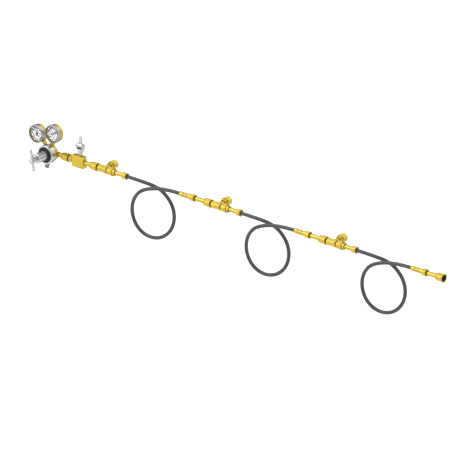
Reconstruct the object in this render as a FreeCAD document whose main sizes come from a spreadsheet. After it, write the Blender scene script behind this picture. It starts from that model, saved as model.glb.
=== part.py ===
import FreeCAD, Part
import math
import os
import re
import Sketcher

Vector = FreeCAD.Vector
Rotation = FreeCAD.Rotation
Placement = FreeCAD.Placement

# Breathing air cascade manifold: a pressure regulator, a shut-off valve and three tees in line,
# joined by union nuts and by three looped hoses. Millimetres.
# X runs along the line, from the regulator to the last hose. Y points to the cylinders. Z is up.
# The origin is the outer end of the thread in the first tee's cylinder nut.

SIZES = {
    # The line
    "branch_reach": 62.0,
    "tee_pitch": 506.0,
    "hose_exit": 106.5,
    "hose_radius": 6.5,
    # Union nut, turned from hexagon bar with a round shoulder behind
    "nut_flats": 28.6,
    "nut_length": 31.0,
    "nut_hexagon": 22.0,
    "shoulder_radius": 12.0,
    "nut_back_wall": 6.0,
    "thread_radius": 10.45,
    "thread_length": 10.5,
    "relief_radius": 10.95,
    "chamber_radius": 9.6,
    "edge_break": 1.0,
    # Nipple with a collar and a conical nose
    "shank_radius": 7.5,
    "collar_radius": 9.2,
    "collar_thick": 3.5,
    "nose_neck": 2.5,
    "nose_cone": 7.0,
    "nose_tip_radius": 4.3,
    "gas_bore": 3.2,
    "spin_gap": 0.3,
    # Male end that the nose seats in
    "male_radius": 10.1,
    "male_length": 21.0,
    "seat_depth": 4.0,
    "seat_gap": 0.1,
    "male_room": 0.5,
    # Screwed ports
    "port_radius": 6.0,
    "port_depth": 7.0,
    "port_gap": 0.1,
    # Tee
    "tee_flats": 25.4,
    "tee_half": 19.0,
    # Hose ends
    "ferrule_flats": 24.0,
    "ferrule_length": 16.5,
    "outlet_shank": 42.0,
    "sleeve_radius": 8.5,
    "sleeve_length": 49.0,
    "sleeve_groove": 0.6,
    "stem_groove": 1.6,
    # Valve block
    "block_length": 51.0,
    "block_depth": 21.0,
    "block_height": 42.0,
    "block_chamfer": 0.8,
    "valve_nipple_shown": 28.0,
    "adapter_flats": 24.0,
    "adapter_hexagon": 14.0,
    # Toggle on the valve block
    "toggle_offset": 6.0,
    "toggle_neck_radius": 4.6,
    "toggle_neck": 11.0,
    "toggle_flats": 21.0,
    "toggle_base_radius": 8.5,
    "toggle_cup": 17.0,
    "saddle_thick": 3.5,
    "pivot_height": 38.0,
    "ear_inner": 12.2,
    "ear_thick": 2.8,
    "ear_radius": 6.0,
    "pin_radius": 2.0,
    "pin_gap": 0.1,
    "pin_head_radius": 6.5,
    "pin_head": 3.0,
    "barrel_radius": 8.6,
    "barrel_half": 12.0,
    "lever_radius": 5.8,
    "lever_length": 35.0,
    # Regulator body and bonnet, along the bonnet's axis from the line's own plane
    "body_inset": 1.5,
    "body_back": 10.0,
    "body_front": 14.0,
    "body_port_reach": 36.5,
    "body_port_radius": 9.5,
    "regulator_nipple_shown": 14.0,
    "pressure_room_radius": 12.0,
    "bonnet_radius": 33.5,
    "bonnet_front": 34.0,
    "recess_floor": 27.0,
    "recess_radius": 28.2,
    "tower_radius": 17.5,
    "tower_front": 80.0,
    "tower_wall": 3.0,
    "tower_end_wall": 8.0,
    "ring_front": 31.0,
    "ring_gap": 0.3,
    "diaphragm_radius": 28.2,
    "diaphragm_thick": 1.5,
    "plate_radius": 20.0,
    "plate_thick": 2.0,
    # Adjusting screw and T-bar
    "button_front": 66.0,
    "button_thick": 6.0,
    "screw_radius": 5.0,
    "neck_start": 86.0,
    "hub_start": 89.0,
    "hub_end": 110.0,
    "hub_radius": 8.7,
    "bar_place": 99.5,
    "bar_radius": 4.8,
    "bar_gap": 0.05,
    "bar_length": 77.0,
    "bar_lean": 10.8,
    # Range spring
    "spring_radius": 10.4,
    "spring_wire": 1.7,
    "spring_turns": 4.0,
    # Gauges
    "gauge_splay": 27.0,
    "gauge_lean": -8.0,
    "gauge_clear": 2.4,
    "gauge_back": 2.0,
    "gauge_port": 7.5,
    "case_radius": 30.5,
    "case_depth": 24.0,
    "case_wall": 1.5,
    "case_floor": 3.0,
    "dial_seat": 17.2,
    "dial_ledge": 3.0,
    "dial_thick": 0.8,
    "lens_thick": 2.0,
    "bezel_wall": 2.0,
    "bezel_start": 16.0,
    "bezel_lip": 2.0,
    "bezel_cover": 5.0,
    "stem_flats": 14.0,
    "left_stem_length": 12.0,
    "right_stem_length": 20.0,
    "gauge_boss_radius": 5.8,
    "spindle_radius": 1.0,
    "spindle_gap": 0.1,
    "post_radius": 3.5,
    "post_height": 10.0,
    "pointer_lift": 2.0,
    "pointer_thick": 0.8,
    "pointer_hub": 3.2,
    "pointer_length": 17.5,
    "pointer_tail": 9.0,
    "pointer_width": 4.0,
    "pointer_left": 35.0,
    "pointer_right": 35.0,
    # Outlet coupling under the regulator
    "outlet_tilt": 15.0,
    "outlet_place": 6.0,
    "outlet_clear": 1.0,
    "outlet_flats": 17.0,
    "outlet_hexagon": 9.0,
    "outlet_length": 25.0,
    "outlet_radius": 7.6,
    "outlet_bore": 5.6,
    "outlet_bore_depth": 13.0,
}

LEFT_TO_RIGHT = Rotation(Vector(0, 0, 1), 0)
RIGHT_TO_LEFT = Rotation(Vector(0, 0, 1), 180)
TO_FRONT = Rotation(Vector(0, 0, 1), -90)
UPWARDS = Rotation(Vector(0, 1, 0), -90)

doc = FreeCAD.newDocument("manifold")
sheet = doc.addObject("Spreadsheet::Sheet", "sizes")
for row, (alias, number) in enumerate(SIZES.items(), start=1):
    sheet.set(f"A{row}", alias)
    sheet.set(f"B{row}", str(number))
    sheet.setAlias(f"B{row}", alias)
doc.recompute()

parts = []


def size(alias):
    """A driving size, read from the sheet."""
    return float(getattr(sheet, alias))


def bound(text):
    """The text with each driving size named as a cell of the sheet."""
    return re.sub(r"[a-z_]+", lambda word: "sizes." + word[0] if word[0] in SIZES else word[0], text)


def number(text):
    """The value of an expression of driving sizes."""
    return float(sheet.evalExpression(bound(text)))


def bind(thing, path, text):
    """Bind one property of an object to an expression of driving sizes."""
    thing.setExpression(path, bound(text))


def finish(thing, rotation, x="0", y="0", z="0"):
    """Place a sub-part and keep it for writing."""
    thing.Placement = Placement(Vector(0, 0, 0), rotation)
    for axis, text in (("x", x), ("y", y), ("z", z)):
        if text != "0":
            bind(thing, "Placement.Base." + axis, text)
    parts.append(thing)
    return thing


def new_body(name):
    body = doc.addObject("PartDesign::Body", name)
    body.Label = name
    return body


def new_sketch(body, role, offset="0", rotation=LEFT_TO_RIGHT):
    """A sketch on one of the body's own planes, turned and then moved along its own normal."""
    plane = [item for item in body.Origin.OriginFeatures if item.Role == role][0]
    sketch = body.newObject("Sketcher::SketchObject", body.Name + "_sketch")
    sketch.AttachmentSupport = [(plane, "")]
    sketch.MapMode = "FlatFace"
    sketch.AttachmentOffset = Placement(Vector(0, 0, 0), rotation)
    if offset != "0":
        normal = rotation.multVec(Vector(0, 0, 1))
        for axis in ("x", "y", "z"):
            share = getattr(normal, axis)
            if abs(share) > 1e-9:
                bind(sketch, "AttachmentOffset.Base." + axis, f"({offset}) * {share:.9f}")
    return sketch


def draw_outline(sketch, corners):
    """A closed outline of straight lines, each corner held by its two coordinates."""
    points = [Vector(number(x), number(y), 0) for x, y in corners]
    first = sketch.GeometryCount
    count = len(points)
    for index in range(count):
        sketch.addGeometry(Part.LineSegment(points[index], points[(index + 1) % count]), False)
    for index in range(count):
        following = first + (index + 1) % count
        sketch.addConstraint(Sketcher.Constraint("Coincident", first + index, 2, following, 1))
    for index, (x, y) in enumerate(corners):
        line = first + index
        if x == "0":
            sketch.addConstraint(Sketcher.Constraint("PointOnObject", line, 1, -2))
        else:
            held = sketch.addConstraint(Sketcher.Constraint("DistanceX", -1, 1, line, 1, points[index].x))
            bind(sketch, f"Constraints[{held}]", x)
        if y == "0":
            sketch.addConstraint(Sketcher.Constraint("PointOnObject", line, 1, -1))
        else:
            held = sketch.addConstraint(Sketcher.Constraint("DistanceY", -1, 1, line, 1, points[index].y))
            bind(sketch, f"Constraints[{held}]", y)


def draw_circle(sketch, radius, x="0"):
    """A circle on the sketch's own X, held by its centre and its radius."""
    centre = Vector(number(x), 0, 0)
    circle = sketch.addGeometry(Part.Circle(centre, Vector(0, 0, 1), number(radius)), False)
    held = sketch.addConstraint(Sketcher.Constraint("Radius", circle, number(radius)))
    bind(sketch, f"Constraints[{held}]", radius)
    if x == "0":
        sketch.addConstraint(Sketcher.Constraint("PointOnObject", circle, 3, -2))
    else:
        held = sketch.addConstraint(Sketcher.Constraint("DistanceX", -1, 1, circle, 3, centre.x))
        bind(sketch, f"Constraints[{held}]", x)
    sketch.addConstraint(Sketcher.Constraint("PointOnObject", circle, 3, -1))


def hexagon(flats):
    """Corners of a hexagon with flats to the sketch's left and right."""
    half = f"({flats}) / 2"
    low = f"({flats}) / sqrt(12)"
    tip = f"({flats}) / sqrt(3)"
    return [(half, low), ("0", tip), ("-" + half, low), ("-" + half, "-" + low), ("0", "-" + tip), (half, "-" + low)]


def turn(body, corners):
    """Turn an outline of (along, radius) corners about the body's X axis."""
    sketch = new_sketch(body, "XY_Plane")
    draw_outline(sketch, corners)
    feature = body.newObject("PartDesign::Revolution", body.Name + "_turned")
    feature.Profile = sketch
    feature.ReferenceAxis = (sketch, ["H_Axis"])
    feature.Angle = 360
    sketch.Visibility = False
    return feature


def mill_hexagon(body, flats, start, length):
    """Mill six flats round the X axis, from start over a length."""
    sketch = new_sketch(body, "YZ_Plane", start)
    draw_outline(sketch, hexagon(flats))
    draw_circle(sketch, f"({flats}) * 0.8")
    feature = body.newObject("PartDesign::Pocket", body.Name + "_flats")
    feature.Profile = sketch
    feature.Reversed = True
    bind(feature, "Length", length)
    return feature


def add_disc(body, role, radius, offset, length, rotation=LEFT_TO_RIGHT, kind="Pad", x="0", back=False):
    """A round boss, or with kind Pocket a round hole, on a plane of the body."""
    sketch = new_sketch(body, role, offset, rotation)
    draw_circle(sketch, radius, x)
    feature = body.newObject("PartDesign::" + kind, body.Name + "_" + kind.lower())
    feature.Profile = sketch
    feature.Reversed = back
    bind(feature, "Length", length)
    return feature


NOSE = "(collar_thick + nose_neck + nose_cone)"
ENGAGED = f"(nut_length - nut_back_wall - {NOSE} + seat_depth)"
SEAT_RADIUS = "(nose_tip_radius + seat_gap)"
SEAT_MOUTH = "(nose_tip_radius + seat_gap + seat_depth * (shank_radius - nose_tip_radius) / nose_cone)"
NOSE_START = f"(nut_length - nut_back_wall - {NOSE})"
MALE_END = "(tee_half + male_length)"
TEE_MOUTH = f"({MALE_END} - {ENGAGED})"


def union_nut(name, rotation, x, y="-branch_reach", z="0"):
    """Union nut. Its own X runs from the mouth to the back."""
    body = new_body(name)
    chamber = f"{ENGAGED} + male_room"
    inner_wall = "nut_length - nut_back_wall"
    turn(body, [
        ("0", "thread_radius + edge_break"),
        ("0", "nut_flats / sqrt(3) - edge_break"),
        ("edge_break", "nut_flats / sqrt(3)"),
        ("nut_hexagon - edge_break", "nut_flats / sqrt(3)"),
        ("nut_hexagon", "nut_flats / sqrt(3) - edge_break * 1.6"),
        ("nut_hexagon", "shoulder_radius + edge_break / 2"),
        ("nut_length - edge_break * 1.5", "shoulder_radius"),
        ("nut_length", "shoulder_radius - edge_break * 1.5"),
        ("nut_length", "shank_radius + spin_gap"),
        (inner_wall, "shank_radius + spin_gap"),
        (inner_wall, "chamber_radius"),
        (chamber, "chamber_radius"),
        (chamber, "relief_radius"),
        ("thread_length", "relief_radius"),
        ("thread_length", "thread_radius"),
        ("edge_break", "thread_radius"),
    ])
    mill_hexagon(body, "nut_flats", "0", "nut_hexagon")
    return finish(body, rotation, x, y, z)


def nose_outline(shank):
    """Outline of a nipple from the tip of its nose to the end of its bare shank."""
    collar = "nose_cone + nose_neck"
    return [
        ("0", "gas_bore"),
        ("0", "nose_tip_radius"),
        ("nose_cone", "shank_radius"),
        (collar, "shank_radius"),
        (collar, "collar_radius"),
        (collar + " + collar_thick", "collar_radius"),
        (collar + " + collar_thick", "shank_radius"),
        (f"{NOSE} + nut_back_wall + {shank}", "shank_radius"),
    ]


def screwed_end(along):
    """The last corners of a nipple whose end is screwed into a port."""
    return [
        (along, "port_radius - port_gap"),
        (f"{along} + port_depth - port_gap", "port_radius - port_gap"),
        (f"{along} + port_depth - port_gap", "gas_bore"),
    ]


def male_outline(end, root, way):
    """Outer outline of a male end, from its seat to its root. way is +1 or -1, from end to root."""
    step = f"{way} * edge_break"
    return [
        (f"{end} + {way} * seat_depth", "gas_bore"),
        (f"{end} + {way} * seat_depth", SEAT_RADIUS),
        (end, SEAT_MOUTH),
        (end, "male_radius - edge_break"),
        (f"{end} + {step}", "male_radius"),
        (root, "male_radius"),
    ]


def tee(index):
    """Tee turned and milled from hexagon bar, with a port for the branch in its back flat."""
    body = new_body(f"tee_{index}")
    left = male_outline(f"-{MALE_END}", "-tee_half", "1")
    right = male_outline(MALE_END, "tee_half", "-1")
    corner = "tee_flats / sqrt(3)"
    middle = [
        ("-tee_half", corner + " - edge_break * 1.4"),
        ("-tee_half + edge_break", corner),
        ("tee_half - edge_break", corner),
        ("tee_half", corner + " - edge_break * 1.4"),
    ]
    turn(body, left + middle + right[::-1])
    mill_hexagon(body, "tee_flats", "-tee_half", "2 * tee_half")
    add_disc(body, "XZ_Plane", "port_radius", "-tee_flats / 2", "port_depth", kind="Pocket", back=True)
    add_disc(body, "XZ_Plane", "gas_bore", "-tee_flats / 2", "tee_flats / 2", kind="Pocket", back=True)
    return finish(body, LEFT_TO_RIGHT, tee_x(index), "-branch_reach")


def tee_x(index):
    return "0" if index == 1 else f"{index - 1} * tee_pitch"


def branch(index):
    """Nipple and nut that carry one tee on a cylinder valve."""
    shank = "branch_reach + edge_break - nut_length - tee_flats / 2"
    body = new_body(f"branch_nipple_{index}")
    end = f"{NOSE} + nut_back_wall + {shank}"
    turn(body, nose_outline(shank) + screwed_end(end))
    finish(body, TO_FRONT, tee_x(index), "edge_break - " + NOSE_START)
    union_nut(f"branch_nut_{index}", TO_FRONT, tee_x(index), "edge_break")


def hose_route(index):
    """Points that the hose's line turns at, from its first fitting to its second."""
    start = (index - 1) * size("tee_pitch")
    level = -size("branch_reach")
    far_end = size("tee_pitch") - number(f"{TEE_MOUTH} + nut_length + outlet_shank + ferrule_length + sleeve_length")
    points = [
        (size("hose_exit"), 0, 0),
        (165, 0, 0),
        (237, 19, -14),
        (290, 18, -54),
        (309, 13, -104),
        (294, 8, -156),
        (250, 3, -192),
        (193, -2, -196),
        (150, -7, -166),
        (135, -12, -114),
        (150, -17, -60),
        (193, -21, -16),
        (270, 0, 0),
        (far_end, 0, 0),
    ]
    return [Vector(start + x, level + y, z) for x, y, z in points]


def bend_path(points):
    """Straight runs joined by tangent arcs, each as large as its two runs allow."""
    edges = []
    radii = []
    place = points[0]
    for before, corner, after in zip(points, points[1:], points[2:]):
        arriving = (corner - before).normalize()
        leaving = (after - corner).normalize()
        half_turn = arriving.getAngle(leaving) / 2
        reach = 0.45 * min((corner - before).Length, (after - corner).Length)
        radius = reach / math.tan(half_turn)
        enter = corner - arriving * reach
        leave = corner + leaving * reach
        inward = (leaving - arriving).normalize()
        middle = corner + inward * (radius / math.cos(half_turn) - radius)
        edges.append(Part.LineSegment(place, enter).toShape())
        edges.append(Part.Arc(enter, middle, leave).toShape())
        radii.append(round(radius))
        place = leave
    edges.append(Part.LineSegment(place, points[-1]).toShape())
    return Part.Wire(edges), radii


def hose(index):
    """The hose itself, a plain tube along its route."""
    path, radii = bend_path(hose_route(index))
    section = Part.Wire(Part.Circle(path.Vertexes[0].Point, Vector(1, 0, 0), size("hose_radius")).toShape())
    thing = doc.addObject("Part::Feature", f"hose_{index}")
    thing.Label = f"hose_{index}"
    thing.Shape = path.makePipeShell([section], True, True)
    parts.append(thing)
    exact = math.pi * size("hose_radius") ** 2 * path.Length
    print(thing.Label, "radii", radii, "length", round(path.Length), "volume/exact", round(thing.Shape.Volume / exact, 5))


def hose_ends(index):
    """The fittings of one hose: nut, nipple and ferrule, then sleeve, stem and nut."""
    start = tee_x(index)
    inlet_mouth = f"{start} + {TEE_MOUTH}"
    union_nut(f"hose_{index}_inlet_nut", LEFT_TO_RIGHT, inlet_mouth)
    shank = f"hose_exit - ferrule_length - ({TEE_MOUTH} + nut_length)"
    end = f"{NOSE} + nut_back_wall + {shank}"
    body = new_body(f"hose_{index}_inlet_nipple")
    turn(body, nose_outline(shank) + [(end, "gas_bore")])
    finish(body, LEFT_TO_RIGHT, f"{inlet_mouth} + {NOSE_START}", "-branch_reach")

    corner = "ferrule_flats / sqrt(3)"
    body = new_body(f"hose_{index}_inlet_ferrule")
    turn(body, [
        ("0", "gas_bore"),
        ("0", corner + " - edge_break * 2"),
        ("edge_break", corner),
        ("ferrule_length - edge_break", corner),
        ("ferrule_length", corner + " - edge_break * 2"),
        ("ferrule_length", "gas_bore"),
    ])
    mill_hexagon(body, "ferrule_flats", "0", "ferrule_length")
    finish(body, LEFT_TO_RIGHT, f"{start} + hose_exit - ferrule_length", "-branch_reach")

    outlet_mouth = f"{start} + tee_pitch - {TEE_MOUTH}"
    union_nut(f"hose_{index}_outlet_nut", RIGHT_TO_LEFT, outlet_mouth)
    body = new_body(f"hose_{index}_outlet_stem")
    end = f"{NOSE} + nut_back_wall + outlet_shank"
    turn(body, nose_outline("outlet_shank - stem_groove") + [
        (f"{end} - stem_groove", "shank_radius - edge_break"),
        (end, "shank_radius - edge_break"),
        (end, corner + " - edge_break * 2"),
        (f"{end} + edge_break", corner),
        (f"{end} + ferrule_length - edge_break", corner),
        (f"{end} + ferrule_length", corner + " - edge_break * 2"),
        (f"{end} + ferrule_length", "gas_bore"),
    ])
    mill_hexagon(body, "ferrule_flats", end, "ferrule_length")
    finish(body, RIGHT_TO_LEFT, f"{outlet_mouth} - {NOSE_START}", "-branch_reach")

    body = new_body(f"hose_{index}_crimp_sleeve")
    crimp = "sleeve_length / 7"
    corners = [("0", "gas_bore"), ("0", "sleeve_radius - edge_break"), ("edge_break", "sleeve_radius")]
    for groove in (2, 4):
        corners += [
            (f"{groove} * {crimp}", "sleeve_radius"),
            (f"{groove} * {crimp} + sleeve_groove", "sleeve_radius - sleeve_groove"),
            (f"{groove + 1} * {crimp} - sleeve_groove", "sleeve_radius - sleeve_groove"),
            (f"{groove + 1} * {crimp}", "sleeve_radius"),
        ]
    corners += [("sleeve_length", "sleeve_radius"), ("sleeve_length", "gas_bore")]
    turn(body, corners)
    sleeve_start = f"{outlet_mouth} - nut_length - outlet_shank - ferrule_length - sleeve_length"
    finish(body, LEFT_TO_RIGHT, sleeve_start, "-branch_reach")


BLOCK_RIGHT = f"(-{TEE_MOUTH} - nut_length - valve_nipple_shown)"
BLOCK_LEFT = f"({BLOCK_RIGHT} - block_length)"
ADAPTER_END = f"({BLOCK_LEFT} - adapter_hexagon - male_length)"
REGULATOR_MOUTH = f"({ADAPTER_END} + {ENGAGED})"
REGULATOR_X = f"({REGULATOR_MOUTH} - nut_length - regulator_nipple_shown - body_port_reach)"
TOGGLE_X = f"({BLOCK_LEFT} + block_length / 2 + toggle_offset)"
BODY_RADIUS = "(bonnet_radius - body_inset)"
GAUGE_SEAT = "(bonnet_radius + gauge_clear)"
OUTLET_SEAT = "(bonnet_radius + outlet_clear)"


def valve():
    """Valve block with its inlet adapter, outlet nipple and outlet nut."""
    body = new_body("valve_block")
    sketch = new_sketch(body, "YZ_Plane")
    half_depth = "block_depth / 2"
    half_height = "block_height / 2"
    draw_outline(sketch, [
        (half_depth, half_height),
        ("-" + half_depth, half_height),
        ("-" + half_depth, "-" + half_height),
        (half_depth, "-" + half_height),
    ])
    pad = body.newObject("PartDesign::Pad", "valve_block_pad")
    pad.Profile = sketch
    bind(pad, "Length", "block_length")
    doc.recompute()
    chamfer = body.newObject("PartDesign::Chamfer", "valve_block_chamfer")
    chamfer.Base = (pad, [f"Edge{edge + 1}" for edge in range(len(pad.Shape.Edges))])
    bind(chamfer, "Size", "block_chamfer")
    body.Tip = chamfer
    add_disc(body, "YZ_Plane", "port_radius", "0", "port_depth", kind="Pocket", back=True)
    add_disc(body, "YZ_Plane", "port_radius", "block_length", "port_depth", kind="Pocket")
    add_disc(body, "YZ_Plane", "gas_bore", "0", "block_length", kind="Pocket", back=True)
    add_disc(body, "XY_Plane", "toggle_neck_radius", half_height, "port_depth", kind="Pocket",
             x="block_length / 2 + toggle_offset")
    finish(body, LEFT_TO_RIGHT, BLOCK_LEFT, "-branch_reach")

    body = new_body("valve_inlet_adapter")
    corner = "adapter_flats / sqrt(3)"
    root = "male_length"
    end = "male_length + adapter_hexagon"
    turn(body, male_outline("0", root, "1") + [
        (root, corner + " - edge_break * 1.6"),
        (root + " + edge_break", corner),
        (end + " - edge_break", corner),
        (end, corner + " - edge_break * 1.6"),
    ] + screwed_end(end))
    mill_hexagon(body, "adapter_flats", root, "adapter_hexagon")
    finish(body, LEFT_TO_RIGHT, ADAPTER_END, "-branch_reach")

    body = new_body("valve_outlet_nipple")
    end = f"{NOSE} + nut_back_wall + valve_nipple_shown"
    turn(body, nose_outline("valve_nipple_shown") + screwed_end(end))
    finish(body, RIGHT_TO_LEFT, f"-{TEE_MOUTH} - {NOSE_START}", "-branch_reach")
    union_nut("valve_outlet_nut", RIGHT_TO_LEFT, "-" + TEE_MOUTH)


def toggle():
    """Toggle on top of the block: a hexagon bonnet with two ears, a pin and a lever."""
    top = "block_height / 2"
    body = new_body("toggle_bonnet")
    corner = "toggle_flats / sqrt(3)"
    cup_top = "toggle_neck + toggle_cup"
    spigot = "toggle_neck_radius - port_gap"
    turn(body, [
        ("-port_depth + port_gap", "0"),
        ("-port_depth + port_gap", spigot),
        ("0", spigot),
        ("toggle_neck", spigot),
        ("toggle_neck", "toggle_base_radius"),
        ("toggle_neck + toggle_cup / 2", corner),
        (cup_top + " - edge_break", corner),
        (cup_top, corner + " - edge_break * 1.6"),
        (cup_top, "0"),
    ])
    mill_hexagon(body, "toggle_flats", "toggle_neck", "toggle_cup")
    sketch = new_sketch(body, "XY_Plane", "-ear_inner - ear_thick")
    draw_outline(sketch, [
        (cup_top, "ear_radius"),
        (cup_top, "-ear_radius"),
        (cup_top + " - saddle_thick", "-ear_radius"),
        (cup_top + " - saddle_thick", "ear_radius"),
    ])
    feature = body.newObject("PartDesign::Pad", "toggle_saddle")
    feature.Profile = sketch
    bind(feature, "Length", "2 * (ear_inner + ear_thick)")
    for side, offset in (("near", "ear_inner"), ("far", "-ear_inner - ear_thick")):
        sketch = new_sketch(body, "XY_Plane", offset)
        draw_ear(sketch, cup_top)
        feature = body.newObject("PartDesign::Pad", f"toggle_ear_{side}")
        feature.Profile = sketch
        bind(feature, "Length", "ear_thick")
    finish(body, UPWARDS, TOGGLE_X, "-branch_reach", top)

    body = new_body("toggle_pin")
    outer = "ear_inner + ear_thick"
    turn(body, [
        (f"-{outer} - edge_break", "0"),
        (f"-{outer} - edge_break", "pin_radius"),
        (outer, "pin_radius"),
        (outer, "pin_head_radius"),
        (f"{outer} + pin_head - edge_break / 2", "pin_head_radius"),
        (f"{outer} + pin_head", "pin_head_radius - edge_break / 2"),
        (f"{outer} + pin_head", "0"),
    ])
    finish(body, RIGHT_TO_LEFT, TOGGLE_X, "-branch_reach", f"{top} + pivot_height")

    body = new_body("toggle_lever")
    reach = "barrel_radius / 2"
    turn(body, [
        (reach, "0"),
        (reach, "lever_radius"),
        ("lever_length - lever_radius * 0.7", "lever_radius"),
        ("lever_length - lever_radius * 0.2", "lever_radius * 0.72"),
        ("lever_length", "lever_radius * 0.3"),
        ("lever_length", "0"),
    ])
    add_disc(body, "XY_Plane", "barrel_radius", "-barrel_half", "2 * barrel_half")
    add_disc(body, "XY_Plane", "pin_radius + pin_gap", "-barrel_half", "2 * barrel_half", kind="Pocket", back=True)
    finish(body, UPWARDS, TOGGLE_X, "-branch_reach", f"{top} + pivot_height")


def draw_ear(sketch, foot):
    """Side view of an ear: straight sides and a round top about the pin's hole."""
    radius = size("ear_radius")
    pivot = size("pivot_height")
    low = number(foot) - 1
    lines = [
        Part.LineSegment(Vector(pivot, radius, 0), Vector(low, radius, 0)),
        Part.LineSegment(Vector(low, radius, 0), Vector(low, -radius, 0)),
        Part.LineSegment(Vector(low, -radius, 0), Vector(pivot, -radius, 0)),
    ]
    for line in lines:
        sketch.addGeometry(line, False)
    arc = Part.ArcOfCircle(Part.Circle(Vector(pivot, 0, 0), Vector(0, 0, 1), radius), -math.pi / 2, math.pi / 2)
    sketch.addGeometry(arc, False)
    for first, second in ((0, 1), (1, 2)):
        sketch.addConstraint(Sketcher.Constraint("Coincident", first, 2, second, 1))
    sketch.addConstraint(Sketcher.Constraint("Tangent", 2, 2, 3, 1))
    sketch.addConstraint(Sketcher.Constraint("Tangent", 3, 2, 0, 1))
    sketch.addConstraint(Sketcher.Constraint("Horizontal", 0))
    sketch.addConstraint(Sketcher.Constraint("Vertical", 1))
    sketch.addConstraint(Sketcher.Constraint("PointOnObject", 3, 3, -1))
    held = sketch.addConstraint(Sketcher.Constraint("DistanceX", -1, 1, 3, 3, pivot))
    bind(sketch, f"Constraints[{held}]", "pivot_height")
    held = sketch.addConstraint(Sketcher.Constraint("Radius", 3, radius))
    bind(sketch, f"Constraints[{held}]", "ear_radius")
    held = sketch.addConstraint(Sketcher.Constraint("DistanceX", -1, 1, 1, 1, low))
    bind(sketch, f"Constraints[{held}]", f"{foot} - edge_break")
    draw_circle(sketch, "pin_radius", "pivot_height")


def in_line(along):
    """Y of a place on the bonnet's axis, counted forwards from the line's plane."""
    return f"-branch_reach - ({along})"


def gauge_angle(way):
    """Angle of a gauge's stem from upright, to the right. way is -1 left, +1 right."""
    return way * size("gauge_splay") + size("gauge_lean")


def regulator_body():
    """Body with its inlet boss, two gauge bosses and the outlet boss."""
    body = new_body("regulator_body")
    turn(body, [
        ("-body_back", "0"),
        ("-body_back", f"{BODY_RADIUS} * 0.55"),
        ("-body_back * 0.75", f"{BODY_RADIUS} * 0.78"),
        ("-body_back * 0.2", f"{BODY_RADIUS} * 0.94"),
        ("body_front * 0.3", BODY_RADIUS),
        ("body_front", BODY_RADIUS),
        ("body_front", "0"),
    ])
    side = Rotation(Vector(1, 0, 0), -90)
    add_disc(body, "XY_Plane", "body_port_radius", "0", "body_port_reach", rotation=side)
    for way in (-1, 1):
        lean = Rotation(Vector(1, 0, 0), -gauge_angle(way))
        add_disc(body, "XY_Plane", "gauge_boss_radius", "0", GAUGE_SEAT, rotation=lean, x="gauge_port")
    outlet = Rotation(Vector(1, 0, 0), 180 - size("outlet_tilt"))
    add_disc(body, "XY_Plane", "outlet_radius", "0", OUTLET_SEAT, rotation=outlet, x="outlet_place")
    add_disc(body, "YZ_Plane", "pressure_room_radius", "body_front", "body_front", kind="Pocket")
    add_disc(body, "XY_Plane", "gas_bore", "body_port_reach", "body_port_reach", rotation=side, kind="Pocket")
    add_disc(body, "XY_Plane", "port_radius", "body_port_reach", "port_depth", rotation=side, kind="Pocket")
    finish(body, TO_FRONT, REGULATOR_X, "-branch_reach")


def bonnet():
    """Bonnet with its ring, and the diaphragm with its plate."""
    body = new_body("bonnet")
    ledge = "body_front + diaphragm_thick"
    chamber = "tower_radius - tower_wall"
    end = "tower_front - tower_end_wall"
    cavity = "plate_radius + ring_gap + 1"
    floor = f"{ledge} + plate_thick + 2"
    turn(body, [
        ("body_front", "diaphragm_radius + ring_gap"),
        ("body_front", "bonnet_radius"),
        ("bonnet_front - edge_break", "bonnet_radius"),
        ("bonnet_front", "bonnet_radius - edge_break"),
        ("bonnet_front", "recess_radius"),
        ("recess_floor", "recess_radius"),
        ("recess_floor", "tower_radius"),
        ("tower_front - edge_break * 2", "tower_radius"),
        ("tower_front", "tower_radius - edge_break * 2"),
        ("tower_front", "screw_radius + spin_gap"),
        (end, "screw_radius + spin_gap"),
        (end, chamber),
        (floor, chamber),
        (floor, cavity),
        (ledge, cavity),
        (ledge, "diaphragm_radius + ring_gap"),
    ])
    finish(body, TO_FRONT, REGULATOR_X, "-branch_reach")

    body = new_body("bonnet_ring")
    turn(body, [
        ("recess_floor", "tower_radius + ring_gap"),
        ("recess_floor", "recess_radius - ring_gap"),
        ("ring_front", "recess_radius - ring_gap"),
        ("ring_front", "tower_radius + ring_gap"),
    ])
    finish(body, TO_FRONT, REGULATOR_X, "-branch_reach")

    body = new_body("diaphragm")
    turn(body, [
        ("body_front", "0"),
        ("body_front", "diaphragm_radius"),
        (ledge, "diaphragm_radius"),
        (ledge, "plate_radius"),
        (ledge + " + plate_thick", "plate_radius"),
        (ledge + " + plate_thick", "0"),
    ])
    finish(body, TO_FRONT, REGULATOR_X, "-branch_reach")


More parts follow.
